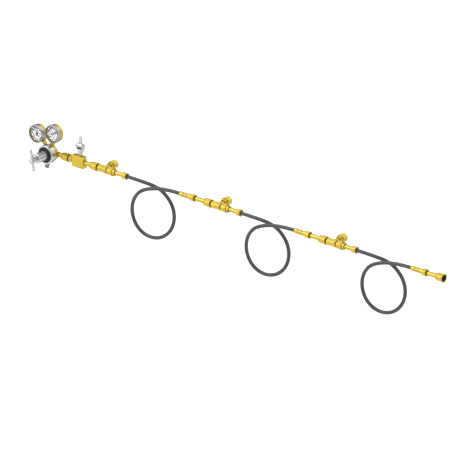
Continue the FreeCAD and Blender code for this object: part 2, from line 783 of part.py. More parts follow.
def adjusting_screw():
    """Spring button, range spring, adjusting screw with its hub, and T-bar."""
    body = new_body("spring_button")
    button = "tower_radius - tower_wall - spin_gap"
    back = "button_front - button_thick"
    turn(body, [(back, "0"), (back, button), ("button_front", button), ("button_front", "0")])
    finish(body, TO_FRONT, REGULATOR_X, "-branch_reach")

    rest = number("body_front + diaphragm_thick + plate_thick")
    height = number(back) - rest
    wire = size("spring_wire")
    pitch = (height - 2 * wire) / size("spring_turns")
    helix = Part.makeHelix(pitch, height - 2 * wire, size("spring_radius"))
    section = Part.Wire(Part.Circle(Vector(size("spring_radius"), 0, 0), Vector(0, 1, 0), wire).toShape())
    thing = doc.addObject("Part::Feature", "range_spring")
    thing.Label = "range_spring"
    thing.Shape = Part.Wire(helix).makePipeShell([section], True, True)
    place = Vector(number(REGULATOR_X), number(in_line(str(rest + wire))), 0)
    thing.Placement = Placement(place, Rotation(Vector(1, 0, 0), 90))
    parts.append(thing)

    body = new_body("adjusting_screw")
    turn(body, [
        ("button_front", "0"),
        ("button_front", "screw_radius"),
        ("neck_start", "screw_radius"),
        ("neck_start", "hub_radius - edge_break * 2"),
        ("hub_start", "hub_radius"),
        ("hub_end - edge_break * 1.5", "hub_radius"),
        ("hub_end", "hub_radius - edge_break * 1.5"),
        ("hub_end", "0"),
    ])
    lean = Rotation(Vector(1, 0, 0), size("bar_lean"))
    add_disc(body, "XY_Plane", "bar_radius + bar_gap", "-2 * hub_radius", "4 * hub_radius", rotation=lean,
             kind="Pocket", x="bar_place", back=True)
    finish(body, TO_FRONT, REGULATOR_X, "-branch_reach")

    body = new_body("t_bar")
    half = "bar_length / 2"
    turn(body, [
        ("-" + half, "0"),
        ("-" + half, "bar_radius - edge_break"),
        (f"-{half} + edge_break", "bar_radius"),
        (f"{half} - edge_break", "bar_radius"),
        (half, "bar_radius - edge_break"),
        (half, "0"),
    ])
    upright = Rotation(Vector(0, 1, 0), -90 - size("bar_lean"))
    finish(body, upright, REGULATOR_X, in_line("bar_place"))


def regulator_inlet():
    """Nipple from the union nut into the regulator's side port."""
    body = new_body("regulator_inlet_nipple")
    shown = "regulator_nipple_shown"
    end = f"{NOSE} + nut_back_wall + {shown}"
    turn(body, nose_outline(f"{shown} * 0.35") + [
        (f"{end} - {shown} * 0.5", "shank_radius + edge_break"),
        (f"{end} - {shown} * 0.25", "shank_radius + edge_break"),
        (end, "shank_radius"),
    ] + screwed_end(end))
    finish(body, RIGHT_TO_LEFT, f"{REGULATOR_MOUTH} - {NOSE_START}", "-branch_reach")
    union_nut("regulator_inlet_nut", RIGHT_TO_LEFT, REGULATOR_MOUTH)


def outlet_coupling():
    """Coupling socket for the air line, under the regulator."""
    body = new_body("outlet_coupling")
    corner = "outlet_flats / sqrt(3)"
    turn(body, [
        ("0", "0"),
        ("0", corner + " - edge_break"),
        ("edge_break", corner),
        ("outlet_hexagon - edge_break", corner),
        ("outlet_hexagon", corner + " - edge_break"),
        ("outlet_hexagon", "outlet_radius"),
        ("outlet_length - edge_break", "outlet_radius"),
        ("outlet_length", "outlet_radius - edge_break"),
        ("outlet_length", "outlet_bore"),
        ("outlet_length - outlet_bore_depth", "outlet_bore"),
        ("outlet_length - outlet_bore_depth", "0"),
    ])
    mill_hexagon(body, "outlet_flats", "0", "outlet_hexagon")
    tilt = size("outlet_tilt")
    down = Rotation(Vector(0, 1, 0), 90 + tilt)
    across = f" - {OUTLET_SEAT} * {math.sin(math.radians(tilt)):.9f}"
    drop = f"-{OUTLET_SEAT} * {math.cos(math.radians(tilt)):.9f}"
    finish(body, down, REGULATOR_X + across, in_line("outlet_place"), drop)


def gauge(name, way, reading):
    """One gauge: case with stem, dial, pointer, window and bezel. way is -1 left, +1 right."""
    angle = gauge_angle(way)
    turned = Rotation(Vector(0, 1, 0), angle) * TO_FRONT
    reach = f"({GAUGE_SEAT} + {name}_stem_length + case_radius)"
    across = f" + {reach} * {math.sin(math.radians(angle)):.9f}"
    up = f"{reach} * {math.cos(math.radians(angle)):.9f}"
    place = (REGULATOR_X + across, in_line("gauge_back"), up)

    body = new_body(f"{name}_gauge_case")
    bore = "case_radius - case_wall"
    post = "case_floor + post_height"
    spindle_end = f"{post} - post_height * 0.6"
    turn(body, [
        ("0", "0"),
        ("0", "case_radius - edge_break * 3"),
        ("edge_break * 2", "case_radius"),
        ("case_depth", "case_radius"),
        ("case_depth", bore),
        ("dial_seat", bore),
        ("dial_seat", f"{bore} - dial_ledge"),
        ("case_floor", f"{bore} - dial_ledge"),
        ("case_floor", "post_radius"),
        (post, "post_radius"),
        (post, "spindle_radius + spindle_gap"),
        (spindle_end, "spindle_radius + spindle_gap"),
        (spindle_end, "0"),
    ])
    sketch = new_sketch(body, "XY_Plane", "-case_radius + case_wall")
    draw_stem(sketch)
    feature = body.newObject("PartDesign::Pad", f"{name}_stem")
    feature.Profile = sketch
    feature.Reversed = True
    bind(feature, "Length", f"{name}_stem_length + case_wall")
    finish(body, turned, *place)

    body = new_body(f"{name}_gauge_dial")
    face = "dial_seat + dial_thick"
    turn(body, [
        ("dial_seat", "spindle_radius + spin_gap"),
        ("dial_seat", f"{bore} - ring_gap"),
        (face, f"{bore} - ring_gap"),
        (face, "spindle_radius + spin_gap"),
    ])
    finish(body, turned, *place)

    body = new_body(f"{name}_gauge_lens")
    lens = "case_depth + lens_thick"
    turn(body, [("case_depth", "0"), ("case_depth", "case_radius"), (lens, "case_radius"), (lens, "0")])
    finish(body, turned, *place)

    body = new_body(f"{name}_gauge_bezel")
    front = f"{lens} + bezel_lip"
    inside = "case_radius + seat_gap"
    outside = f"{inside} + bezel_wall"
    window = "case_radius - bezel_cover"
    turn(body, [
        ("bezel_start", inside),
        ("bezel_start", outside),
        (f"{front} - edge_break", outside),
        (front, f"{outside} - edge_break"),
        (front, f"{window} + edge_break * 2"),
        (lens, window),
        (lens, inside),
    ])
    finish(body, turned, *place)

    body = new_body(f"{name}_gauge_pointer")
    needle = f"{face} + pointer_lift"
    top = f"{needle} + pointer_thick"
    turn(body, [
        (f"{spindle_end} + spindle_gap", "0"),
        (f"{spindle_end} + spindle_gap", "spindle_radius"),
        (needle, "spindle_radius"),
        (needle, "pointer_hub"),
        (top, "pointer_hub"),
        (top, "0"),
    ])
    sketch = new_sketch(body, "YZ_Plane", needle)
    draw_outline(sketch, [
        ("pointer_width / 2", "-pointer_tail"),
        ("pointer_width / 4", "pointer_length"),
        ("-pointer_width / 4", "pointer_length"),
        ("-pointer_width / 2", "-pointer_tail"),
    ])
    feature = body.newObject("PartDesign::Pad", f"{name}_needle")
    feature.Profile = sketch
    bind(feature, "Length", "pointer_thick")
    finish(body, turned * Rotation(Vector(1, 0, 0), -reading), *place)


def draw_stem(sketch):
    """Hexagon of a gauge's stem, centred on the gauge's port."""
    half = "stem_flats / 2"
    low = "stem_flats / sqrt(12)"
    tip = "stem_flats / sqrt(3)"
    middle = "gauge_port"
    draw_outline(sketch, [
        (f"{middle} - gauge_back + {low}", half),
        (f"{middle} - gauge_back + {tip}", "0"),
        (f"{middle} - gauge_back + {low}", "-" + half),
        (f"{middle} - gauge_back - {low}", "-" + half),
        (f"{middle} - gauge_back - {tip}", "0"),
        (f"{middle} - gauge_back - {low}", half),
    ])


def check(thing):
    """Stop if a sub-part is missing, open or in pieces."""
    shape = thing.Shape
    if shape.isNull() or not shape.isValid() or shape.Volume <= 0 or len(shape.Solids) != 1:
        raise RuntimeError("bad shape: " + thing.Label)
    return shape


regulator_body()
bonnet()
adjusting_screw()
regulator_inlet()
outlet_coupling()
gauge("left", -1, size("pointer_left"))
gauge("right", 1, size("pointer_right"))
valve()
toggle()
for number_in_line in (1, 2, 3):
    tee(number_in_line)
    branch(number_in_line)
    hose_ends(number_in_line)
    hose(number_in_line)
doc.recompute()

for item in doc.Objects:
    if "Invalid" in item.State or "Error" in item.State:
        raise RuntimeError(f"failed: {item.Label} {item.State}")

os.makedirs("parts", exist_ok=True)
for thing in parts:
    check(thing).exportStep(f"parts/{thing.Label}.step")
print(len(parts), "sub-parts written")
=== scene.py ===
import math
import bmesh
import bpy
import numpy as np
from mathutils import Matrix, Vector


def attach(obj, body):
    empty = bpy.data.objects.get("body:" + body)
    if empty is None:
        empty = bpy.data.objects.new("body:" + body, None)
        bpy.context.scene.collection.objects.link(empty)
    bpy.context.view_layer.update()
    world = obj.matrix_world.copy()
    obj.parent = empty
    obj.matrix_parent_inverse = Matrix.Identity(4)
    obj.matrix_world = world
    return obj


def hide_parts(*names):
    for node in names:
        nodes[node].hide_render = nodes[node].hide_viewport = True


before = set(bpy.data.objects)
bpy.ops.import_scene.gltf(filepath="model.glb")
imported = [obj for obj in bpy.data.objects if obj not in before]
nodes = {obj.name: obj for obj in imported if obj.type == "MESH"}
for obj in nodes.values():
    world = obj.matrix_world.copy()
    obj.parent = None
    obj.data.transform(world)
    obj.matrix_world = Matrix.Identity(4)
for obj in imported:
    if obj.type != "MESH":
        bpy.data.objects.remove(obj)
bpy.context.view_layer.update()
print("frame loaded:", len(nodes), "pieces from CAD")

# Places shared by several pieces, in metres
mm = 0.001
teePitch = 0.506
chainY = -0.062
regulatorX = -0.2345
adapterX = -0.169
nutCover = 0.016
pigtailPlaces = {"inletNut": 0.024, "ferrule": 0.090, "sleeve": 0.3435, "stemNose": 0.470,
                 "outletNut": 0.482}


# Camera, set to the drawing's own angle
cameraSettings = {
    "azimuth": 40.0,
    "elevation": 22.6,
    "distance": 40.0,
    "imagePixels": 450,
    "pixelsPerMetre": 293.5,
    "firstTeePixel": (103.4, 168.9),
}


def placeCamera(c):
    # The camera looks along its own back vector. Its aim is moved so that the first tee falls on its pixel.
    a, e = math.radians(c["azimuth"]), math.radians(c["elevation"])
    back = np.array([math.sin(a) * math.cos(e), -math.cos(a) * math.cos(e), math.sin(e)])
    right = np.array([math.cos(a), math.sin(a), 0.0])
    up = np.array([-math.sin(a) * math.sin(e), math.cos(a) * math.sin(e), math.cos(e)])
    half = c["imagePixels"] / 2
    aim = np.array([0.0, chainY, 0.0])
    aim = aim + (half - c["firstTeePixel"][0]) / c["pixelsPerMetre"] * right
    aim = aim - (half - c["firstTeePixel"][1]) / c["pixelsPerMetre"] * up
    data = bpy.data.cameras.new("camera")
    data.sensor_width = 36.0
    data.lens = data.sensor_width * c["distance"] * c["pixelsPerMetre"] / c["imagePixels"]
    data.clip_start = 0.1
    data.clip_end = 100.0
    camera = bpy.data.objects.new("camera", data)
    bpy.context.scene.collection.objects.link(camera)
    turn = np.eye(4)
    turn[:3, :3] = np.column_stack([right, up, back])
    turn[:3, 3] = aim + back * c["distance"]
    camera.matrix_world = Matrix(turn.tolist())
    bpy.context.scene.camera = camera


placeCamera(cameraSettings)
print("camera placed")


# Meshes from grids of points. Rows run along the piece and columns close round it.
def gridMesh(name, points, closedRows=False, fields=None, uv=None, sharpAngle=38.0):
    # Each cell of the grid is one four-sided face. Doubles are merged, so poles and seams are closed,
    # and the normals are turned outwards. fields are named numbers at each point of the grid.
    rows, columns = points.shape[:2]
    lastRow = rows if closedRows else rows - 1
    low = np.arange(lastRow)[:, None] * columns
    high = ((np.arange(lastRow) + 1) % rows)[:, None] * columns
    here = np.arange(columns)[None, :]
    there = (here + 1) % columns
    faces = np.stack([low + here, low + there, high + there, high + here], axis=-1).reshape(-1, 4)
    mesh = bpy.data.meshes.new(name)
    mesh.from_pydata(points.reshape(-1, 3).tolist(), [], faces.tolist())
    for field, values in (fields or {}).items():
        layer = mesh.attributes.new(field, "FLOAT", "POINT")
        layer.data.foreach_set("value", np.ascontiguousarray(values, dtype=np.float32).ravel())
    if uv is not None:
        # uv holds one column more than the points, so that the seam has both its edges.
        cell = np.arange(lastRow)[:, None] * (columns + 1) + here
        faceCorners = np.stack([cell, cell + 1, cell + columns + 2, cell + columns + 1], axis=-1).reshape(-1)
        layer = mesh.uv_layers.new(name="UVMap")
        layer.uv.foreach_set("vector", uv.reshape(-1, 2)[faceCorners].astype(np.float32).ravel())
    shape = bmesh.new()
    shape.from_mesh(mesh)
    bmesh.ops.remove_doubles(shape, verts=shape.verts, dist=2e-7)
    bmesh.ops.recalc_face_normals(shape, faces=shape.faces)
    shape.to_mesh(mesh)
    shape.free()
    mesh.shade_smooth()
    mesh.set_sharp_from_angle(angle=math.radians(sharpAngle))
    return mesh


def newPiece(name, mesh, body, material, replaced=()):
    piece = bpy.data.objects.new(name, mesh)
    bpy.context.scene.collection.objects.link(piece)
    mesh.materials.append(material)
    if replaced:
        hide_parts(*replaced)
    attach(piece, body)
    return piece


# Outlines of turned pieces: x along the piece and r from its axis, in millimetres, with a third
# number that is 1 on an outside thread and 2 on an inside thread.
def corners(*pairs):
    return np.array([(x, r, 0.0) for x, r in pairs])


def run(x0, r0, x1, r1, count, thread=0.0):
    steps = np.linspace(0.0, 1.0, count)[:, None]
    return np.hstack([(1 - steps) * [x0, r0] + steps * [x1, r1], np.full((count, 1), thread)])


def softened(outline, radius):
    # Every sharp corner is cut back by the radius times the tangent of half its turn and bridged
    # through a quarter of each cut point and half of the corner.
    before = np.roll(outline, 1, axis=0)
    after = np.roll(outline, -1, axis=0)
    arriving = outline[:, :2] - before[:, :2]
    leaving = after[:, :2] - outline[:, :2]
    inLength = np.maximum(np.linalg.norm(arriving, axis=1), 1e-9)
    outLength = np.maximum(np.linalg.norm(leaving, axis=1), 1e-9)
    arriving = arriving / inLength[:, None]
    leaving = leaving / outLength[:, None]
    turn = np.arccos(np.clip((arriving * leaving).sum(axis=1), -1.0, 1.0))
    cut = np.minimum(radius * np.tan(np.minimum(turn, 2.6) / 2), 0.42 * np.minimum(inLength, outLength))
    first = outline.copy()
    last = outline.copy()
    first[:, :2] -= cut[:, None] * arriving
    last[:, :2] += cut[:, None] * leaving
    middle = outline.copy()
    middle[:, :2] = 0.25 * first[:, :2] + 0.5 * outline[:, :2] + 0.25 * last[:, :2]
    sharp = (turn > math.radians(14)) & (outline[:, 2] == 0) & (outline[:, 1] > 0)
    kept = np.stack([sharp, np.ones(len(outline), bool), sharp], axis=1)
    middle[~sharp] = outline[~sharp]
    edge = np.stack([np.zeros(len(outline)), sharp, np.zeros(len(outline))], axis=1)
    rows = np.stack([first, middle, last], axis=1)
    return rows[kept], edge[kept]


# paintedShadeFloor is the least painted shade laid over an outside thread
threadForm = {"pitch": 1.814, "depth": 1.05, "crest": 0.125, "flank": 0.625, "paintedShadeFloor": 0.72}
# cornerShade: how far the painted shade at the feet of shoulders reaches, in millimetres
cornerShade = {"depth": 3.4}
hexagonColumns = {
    "offsets": (0.0, 0.9, 2.2, 4.5, 11.0, 20.0, 30.0, 40.0, 49.0, 55.5, 57.8, 59.1),
    "land": 0.35,
}


def axisFrame(origin, along, side):
    along = np.array(along, float)
    along = along / np.linalg.norm(along)
    side = np.array(side, float)
    return np.array(origin, float), along, side, np.cross(along, side)


def inCorners(x, r):
    # How far a point lies under the 45 degree line from the highest neighbour along the piece, over a full
    # depth: 1 at the foot of a tall shoulder, 0 on open metal. It is the mask of the painted shade in
    # corners.
    line = r[None, :, :] - np.abs(x[:, None] - x[None, :])[..., None]
    return np.clip((line.max(axis=1) - r) / cornerShade["depth"], 0.0, 1.0)


def withEndRows(rows, edge, closed):
    # A long straight stretch gets a row near each of its ends, so that the painted shade stays by the
    # shoulders.
    step = np.roll(rows, -1, axis=0) - rows
    reach = np.abs(step[:, 0])
    longOnes = reach > 3 * cornerShade["depth"]
    longOnes[-1] &= closed
    part = step[:, :2] * (cornerShade["depth"] / np.maximum(reach, 1e-9))[:, None]
    near, far = rows.copy(), rows + step
    near[:, :2] += part
    far[:, :2] -= part
    near[:, 2] = far[:, 2] = 0.0
    kept = np.stack([np.ones(len(rows), bool), longOnes, longOnes], axis=1)
    marks = np.stack([edge, np.zeros(len(rows)), np.zeros(len(rows))], axis=1)
    return np.stack([rows, near, far], axis=1)[kept], marks[kept]


def turnedMesh(name, place, outline, flats=0.0, radius=0.35, closed=True, roundColumns=60):
    # r(angle, x) is the smaller of the turned outline and, on hexagon bar, the flats' own distance,
    # flats / 2 / cos(angle from the middle of the flat). A thread takes depth times a flat-topped
    # wave of x / pitch - angle / full turn from it, fading over one pitch at both ends.
    rows, edge = withEndRows(*softened(outline, radius), closed)
    if flats:
        sector = np.arange(6)[:, None] * 60.0 + 30.0
        angle = np.radians((sector + np.array(hexagonColumns["offsets"])[None, :]).ravel())
    else:
        angle = np.arange(roundColumns) * 2 * math.pi / roundColumns
    x = rows[:, 0][:, None]
    r = np.repeat(rows[:, 1][:, None], len(angle), axis=1)
    groove = np.zeros_like(r)
    wear = np.repeat(edge[:, None], len(angle), axis=1)
    if flats:
        offFlat = (angle + math.pi / 6) % (math.pi / 3) - math.pi / 6
        flatReach = np.minimum(flats / 2 / np.cos(offFlat), flats / math.sqrt(3) - hexagonColumns["land"])
        corner = np.clip((np.abs(np.degrees(offFlat)) - 25.0) / 4.0, 0.0, 1.0)
        onFlat = r > flatReach[None, :] - 0.02
        r = np.minimum(r, flatReach[None, :])
        wear = np.maximum(wear, onFlat * corner[None, :])
    for kind in (1.0, 2.0):
        cut = rows[:, 2] == kind
        if cut.any():
            where = rows[cut, 0]
            ends = np.minimum(where - where.min(), where.max() - where) / threadForm["pitch"]
            phase = (x / threadForm["pitch"] - angle[None, :] / (2 * math.pi)) % 1.0
            wave = 1 - np.abs(2 * phase - 1)
            depth = np.clip((wave - threadForm["crest"]) / threadForm["flank"], 0.0, 1.0)
            depth = depth[cut] * np.clip(ends, 0.0, 1.0)[:, None]
            r[cut] -= threadForm["depth"] * depth
            # groove marks the thread valleys, which the metal darkens as painted shade
            groove[cut] = depth if kind == 1.0 else 1 - depth
            wear[cut] = 0.6 * (1 - groove[cut])
            # The whole outside thread is darkened to at least this share, painted shade
            if kind == 1.0:
                groove[cut] = np.maximum(groove[cut], threadForm["paintedShadeFloor"])
    # paintedShade is the corner mask that the metals darken as painted shade
    fields = {"wear": wear, "groove": groove, "paintedShade": inCorners(rows[:, 0], r)}
    origin, along, side, third = place
    points = x[..., None] * along + r[..., None] * (
        np.cos(angle)[None, :, None] * side + np.sin(angle)[None, :, None] * third)
    points = origin + points * mm
    return gridMesh(name, points, closedRows=closed, fields=fields)


# Shader groups: each puts out masks and heights only
def shaderGroup(name, inputs, outputs):
    group = bpy.data.node_groups.new(name, "ShaderNodeTree")
    for label, kind, value in inputs:
        socket = group.interface.new_socket(name=label, in_out="INPUT", socket_type=kind)
        if value is not None:
            socket.default_value = value
    for label in outputs:
        group.interface.new_socket(name=label, in_out="OUTPUT", socket_type="NodeSocketFloat")
    return group, group.nodes.new("NodeGroupInput"), group.nodes.new("NodeGroupOutput")


def mapped(tree, source, low, high, toLow=0.0, toHigh=1.0):
    node = tree.nodes.new("ShaderNodeMapRange")
    node.inputs["From Min"].default_value = low
    node.inputs["From Max"].default_value = high
    node.inputs["To Min"].default_value = toLow
    node.inputs["To Max"].default_value = toHigh
    tree.links.new(source, node.inputs["Value"])
    return node.outputs["Result"]


def latheMarkGroup():
    # Height follows noise of the distance along the axis alone, so every mark is a ring round the piece.
    group, given, result = shaderGroup("latheMarks", [
        ("Position", "NodeSocketVector", None), ("Axis", "NodeSocketVector", (1, 0, 0)),
        ("Lines", "NodeSocketFloat", 2500.0)], ["Height", "Bands"])
    along = group.nodes.new("ShaderNodeVectorMath")
    along.operation = "DOT_PRODUCT"
    group.links.new(given.outputs["Position"], along.inputs[0])
    group.links.new(given.outputs["Axis"], along.inputs[1])
    fine = group.nodes.new("ShaderNodeTexNoise")
    fine.noise_dimensions = "1D"
    fine.inputs["Detail"].default_value = 3.0
    group.links.new(along.outputs["Value"], fine.inputs["W"])
    group.links.new(given.outputs["Lines"], fine.inputs["Scale"])
    broad = group.nodes.new("ShaderNodeTexNoise")
    broad.noise_dimensions = "1D"
    broad.inputs["Scale"].default_value = 260.0
    group.links.new(along.outputs["Value"], broad.inputs["W"])
    group.links.new(fine.outputs["Fac"], result.inputs["Height"])
    group.links.new(mapped(group, broad.outputs["Fac"], 0.3, 0.7), result.inputs["Bands"])
    return group


def handlingGroup():
    # Cloudy dullness where hands have been, and short fine scratches from stretched noise.
    group, given, result = shaderGroup("handling", [
        ("Position", "NodeSocketVector", None), ("Scale", "NodeSocketFloat", 90.0)],
        ["Dullness", "Scratches"])
    cloud = group.nodes.new("ShaderNodeTexNoise")
    cloud.inputs["Detail"].default_value = 5.0
    cloud.inputs["Roughness"].default_value = 0.62
    group.links.new(given.outputs["Position"], cloud.inputs["Vector"])
    group.links.new(given.outputs["Scale"], cloud.inputs["Scale"])
    stretch = group.nodes.new("ShaderNodeMapping")
    stretch.inputs["Rotation"].default_value = (0.5, 0.9, 0.35)
    stretch.inputs["Scale"].default_value = (60.0, 1400.0, 1400.0)
    group.links.new(given.outputs["Position"], stretch.inputs["Vector"])
    scratch = group.nodes.new("ShaderNodeTexNoise")
    scratch.inputs["Scale"].default_value = 1.0
    scratch.inputs["Detail"].default_value = 1.0
    group.links.new(stretch.outputs["Vector"], scratch.inputs["Vector"])
    group.links.new(mapped(group, cloud.outputs["Fac"], 0.38, 0.68), result.inputs["Dullness"])
    group.links.new(mapped(group, scratch.outputs["Fac"], 0.66, 0.74), result.inputs["Scratches"])
    return group


latheMarks = latheMarkGroup()
handling = handlingGroup()


def startMaterial(name):
    material = bpy.data.materials.new(name)
    material.use_nodes = True
    tree = material.node_tree
    return material, tree, tree.nodes["Principled BSDF"]


def groupNode(tree, group, position, values):
    node = tree.nodes.new("ShaderNodeGroup")
    node.node_tree = group
    tree.links.new(position, node.inputs["Position"])
    for label, value in values.items():
        node.inputs[label].default_value = value
    return node


def blended(tree, amount, first, second, share=1.0):
    # Colour mix: first and second are colours or sockets, amount is a socket, times share.
    node = tree.nodes.new("ShaderNodeMix")
    node.data_type = "RGBA"
    scaled = mapped(tree, amount, 0.0, 1.0, 0.0, share)
    tree.links.new(scaled, node.inputs[0])
    for socket, value in ((node.inputs[6], first), (node.inputs[7], second)):
        if isinstance(value, tuple):
            socket.default_value = value + (1.0,)
        else:
            tree.links.new(value, socket)
    return node.outputs[2]


def summed(tree, *sockets):
    total = sockets[0]
    for socket in sockets[1:]:
        node = tree.nodes.new("ShaderNodeMath")
        node.operation = "ADD"
        tree.links.new(total, node.inputs[0])
        tree.links.new(socket, node.inputs[1])
        total = node.outputs[0]
    return total


# Metals of the fittings. Colours are linear.
# paintedShade is the colour of painted shade in corners and crimp bands; dark is the painted shade of thread
# valleys
metalSettings = {
    "brass": {"base": (0.59, 0.432, 0.070), "dull": (0.43, 0.308, 0.048), "bright": (0.82, 0.66, 0.22),
              "paintedShade": (0.035, 0.025, 0.009), "dark": (0.012, 0.011, 0.010), "edge": (0.16, 0.11, 0.03),
              "roughness": 0.33, "lines": 2600.0, "markDepth": 0.000006},
    "silver": {"base": (0.55, 0.557, 0.575), "dull": (0.40, 0.406, 0.42), "bright": (0.72, 0.73, 0.75),
               "paintedShade": (0.045, 0.045, 0.05), "dark": (0.02, 0.02, 0.02), "edge": (0.10, 0.10, 0.11),
               "roughness": 0.30, "lines": 2200.0, "markDepth": 0.000005},
    "grey": {"base": (0.20, 0.205, 0.215), "dull": (0.14, 0.144, 0.15), "bright": (0.42, 0.43, 0.44),
             "paintedShade": (0.03, 0.03, 0.03), "dark": (0.02, 0.02, 0.02), "edge": (0.10, 0.10, 0.10),
             "roughness": 0.38, "lines": 1800.0, "markDepth": 0.000008},
    "bezel": {"base": (0.39, 0.395, 0.41), "dull": (0.28, 0.285, 0.29), "bright": (0.60, 0.61, 0.63),
              "paintedShade": (0.045, 0.045, 0.045), "dark": (0.02, 0.02, 0.02), "edge": (0.08, 0.08, 0.09),
              "roughness": 0.27, "lines": 3000.0, "markDepth": 0.000004},
    "springSteel": {"base": (0.26, 0.27, 0.29), "dull": (0.16, 0.155, 0.15), "bright": (0.42, 0.43, 0.44),
                    "paintedShade": (0.05, 0.05, 0.05), "dark": (0.02, 0.02, 0.02), "edge": (0.2, 0.2, 0.2),
                    "roughness": 0.38, "lines": 600.0, "markDepth": 0.000004},
}
metalShares = {"dull": 0.45, "scratch": 0.35, "wear": 0.6, "paintedShade": 0.9, "groove": 0.97}
metalRoughness = {"clean": -0.05, "handled": 0.12, "bandLow": -0.03, "bandHigh": 0.05, "groove": 0.12,
                  "paintedShade": 0.2}


def metal(kind, axis, label):
    # Dullness and worn edges move the colour between three tones. Painted shade darkens corners and crimp
    # bands, and thread valleys fall to the dark one as painted shade.
    s = metalSettings[kind]
    material, tree, shader = startMaterial(kind + label)
    place = tree.nodes.new("ShaderNodeTexCoord").outputs["Object"]
    marks = groupNode(tree, latheMarks, place, {"Axis": axis, "Lines": s["lines"]})
    hand = groupNode(tree, handling, place, {"Scale": 90.0})
    wear = tree.nodes.new("ShaderNodeAttribute")
    wear.attribute_name = "wear"
    groove = tree.nodes.new("ShaderNodeAttribute")
    groove.attribute_name = "groove"
    paintedShade = tree.nodes.new("ShaderNodeAttribute")
    paintedShade.attribute_name = "paintedShade"
    tone = blended(tree, hand.outputs["Dullness"], s["base"], s["dull"], metalShares["dull"])
    tone = blended(tree, hand.outputs["Scratches"], tone, s["bright"], metalShares["scratch"])
    tone = blended(tree, wear.outputs["Fac"], tone, s["bright"], metalShares["wear"])
    # Painted shade at the feet of shoulders, in recesses and in crimp bands
    tone = blended(tree, paintedShade.outputs["Fac"], tone, s["paintedShade"], metalShares["paintedShade"])
    # Painted shade in thread valleys and over outside threads
    tone = blended(tree, groove.outputs["Fac"], tone, s["dark"], metalShares["groove"])
    tree.links.new(tone, shader.inputs["Base Color"])
    shader.inputs["Metallic"].default_value = 1.0
    shader.inputs["Specular Tint"].default_value = s["edge"] + (1.0,)
    m = metalRoughness
    clean, handled = s["roughness"] + m["clean"], s["roughness"] + m["handled"]
    rough = summed(tree, mapped(tree, hand.outputs["Dullness"], 0, 1, clean, handled),
                   mapped(tree, marks.outputs["Bands"], 0, 1, m["bandLow"], m["bandHigh"]),
                   mapped(tree, groove.outputs["Fac"], 0, 1, 0.0, m["groove"]),
                   mapped(tree, paintedShade.outputs["Fac"], 0, 1, 0.0, m["paintedShade"]))
    tree.links.new(rough, shader.inputs["Roughness"])
    bump = tree.nodes.new("ShaderNodeBump")
    bump.inputs["Distance"].default_value = s["markDepth"]
    bump.inputs["Strength"].default_value = 1.0
    height = summed(tree, marks.outputs["Height"], mapped(tree, hand.outputs["Scratches"], 0, 1, 0.0, -0.6))
    tree.links.new(height, bump.inputs["Height"])
    tree.links.new(bump.outputs["Normal"], shader.inputs["Normal"])
    return material


def plainSurface(name, s):
    # Fine grain from noise moves the colour between two tones and lifts the surface slightly.
    material, tree, shader = startMaterial(name)
    place = tree.nodes.new("ShaderNodeTexCoord").outputs["Object"]
    noise = tree.nodes.new("ShaderNodeTexNoise")
    noise.inputs["Scale"].default_value = s["grain"]
    noise.inputs["Detail"].default_value = 4.0
    tree.links.new(place, noise.inputs["Vector"])
    hand = groupNode(tree, handling, place, {"Scale": 60.0})
    tree.links.new(blended(tree, noise.outputs["Fac"], s["base"], s["second"]), shader.inputs["Base Color"])
    rough = mapped(tree, hand.outputs["Dullness"], 0, 1, s["roughness"] - 0.06, s["roughness"] + 0.1)
    tree.links.new(rough, shader.inputs["Roughness"])
    shader.inputs["Specular IOR Level"].default_value = s["gloss"]
    bump = tree.nodes.new("ShaderNodeBump")
    bump.inputs["Distance"].default_value = s["relief"]
    tree.links.new(noise.outputs["Fac"], bump.inputs["Height"])
    tree.links.new(bump.outputs["Normal"], shader.inputs["Normal"])
    return material


def hoseCover(name, s):
    # The cover was cured under a spiral of tape, which leaves faint slanting ridges across the hose.
    material, tree, shader = startMaterial(name)
    uv = tree.nodes.new("ShaderNodeUVMap")
    uv.uv_map = "UVMap"
    turn = tree.nodes.new("ShaderNodeMapping")
    turn.inputs["Rotation"].default_value = (0.0, 0.0, s["tapeAngle"])
    tree.links.new(uv.outputs["UV"], turn.inputs["Vector"])
    tape = tree.nodes.new("ShaderNodeTexWave")
    tape.wave_profile = "SAW"
    tape.inputs["Scale"].default_value = s["tapeScale"]
    tree.links.new(turn.outputs["Vector"], tape.inputs["Vector"])
    weave = tree.nodes.new("ShaderNodeTexWave")
    weave.inputs["Scale"].default_value = s["weaveScale"]
    tree.links.new(uv.outputs["UV"], weave.inputs["Vector"])
    place = tree.nodes.new("ShaderNodeTexCoord").outputs["Object"]
    hand = groupNode(tree, handling, place, {"Scale": 45.0})
    tone = blended(tree, hand.outputs["Dullness"], s["base"], s["dusty"], 0.5)
    tone = blended(tree, weave.outputs["Fac"], tone, s["thread"], 0.25)
    tree.links.new(tone, shader.inputs["Base Color"])
    rough = mapped(tree, hand.outputs["Dullness"], 0, 1, s["roughness"] - 0.05, s["roughness"] + 0.12)
    tree.links.new(rough, shader.inputs["Roughness"])
    shader.inputs["Specular IOR Level"].default_value = s["gloss"]
    bump = tree.nodes.new("ShaderNodeBump")
    bump.inputs["Distance"].default_value = s["relief"]
    height = summed(tree, tape.outputs["Fac"], mapped(tree, weave.outputs["Fac"], 0, 1, 0.0, 0.5))
    tree.links.new(height, bump.inputs["Height"])
    tree.links.new(bump.outputs["Normal"], shader.inputs["Normal"])
    return material


def glassWindow(name):
    material, tree, shader = startMaterial(name)
    shader.inputs["Base Color"].default_value = (0.97, 0.985, 0.98, 1.0)
    shader.inputs["Transmission Weight"].default_value = 1.0
    shader.inputs["IOR"].default_value = 1.46
    shader.inputs["Alpha"].default_value = 0.10
    place = tree.nodes.new("ShaderNodeTexCoord").outputs["Object"]
    hand = groupNode(tree, handling, place, {"Scale": 120.0})
    tree.links.new(mapped(tree, hand.outputs["Dullness"], 0, 1, 0.0, 0.012), shader.inputs["Roughness"])
    return material


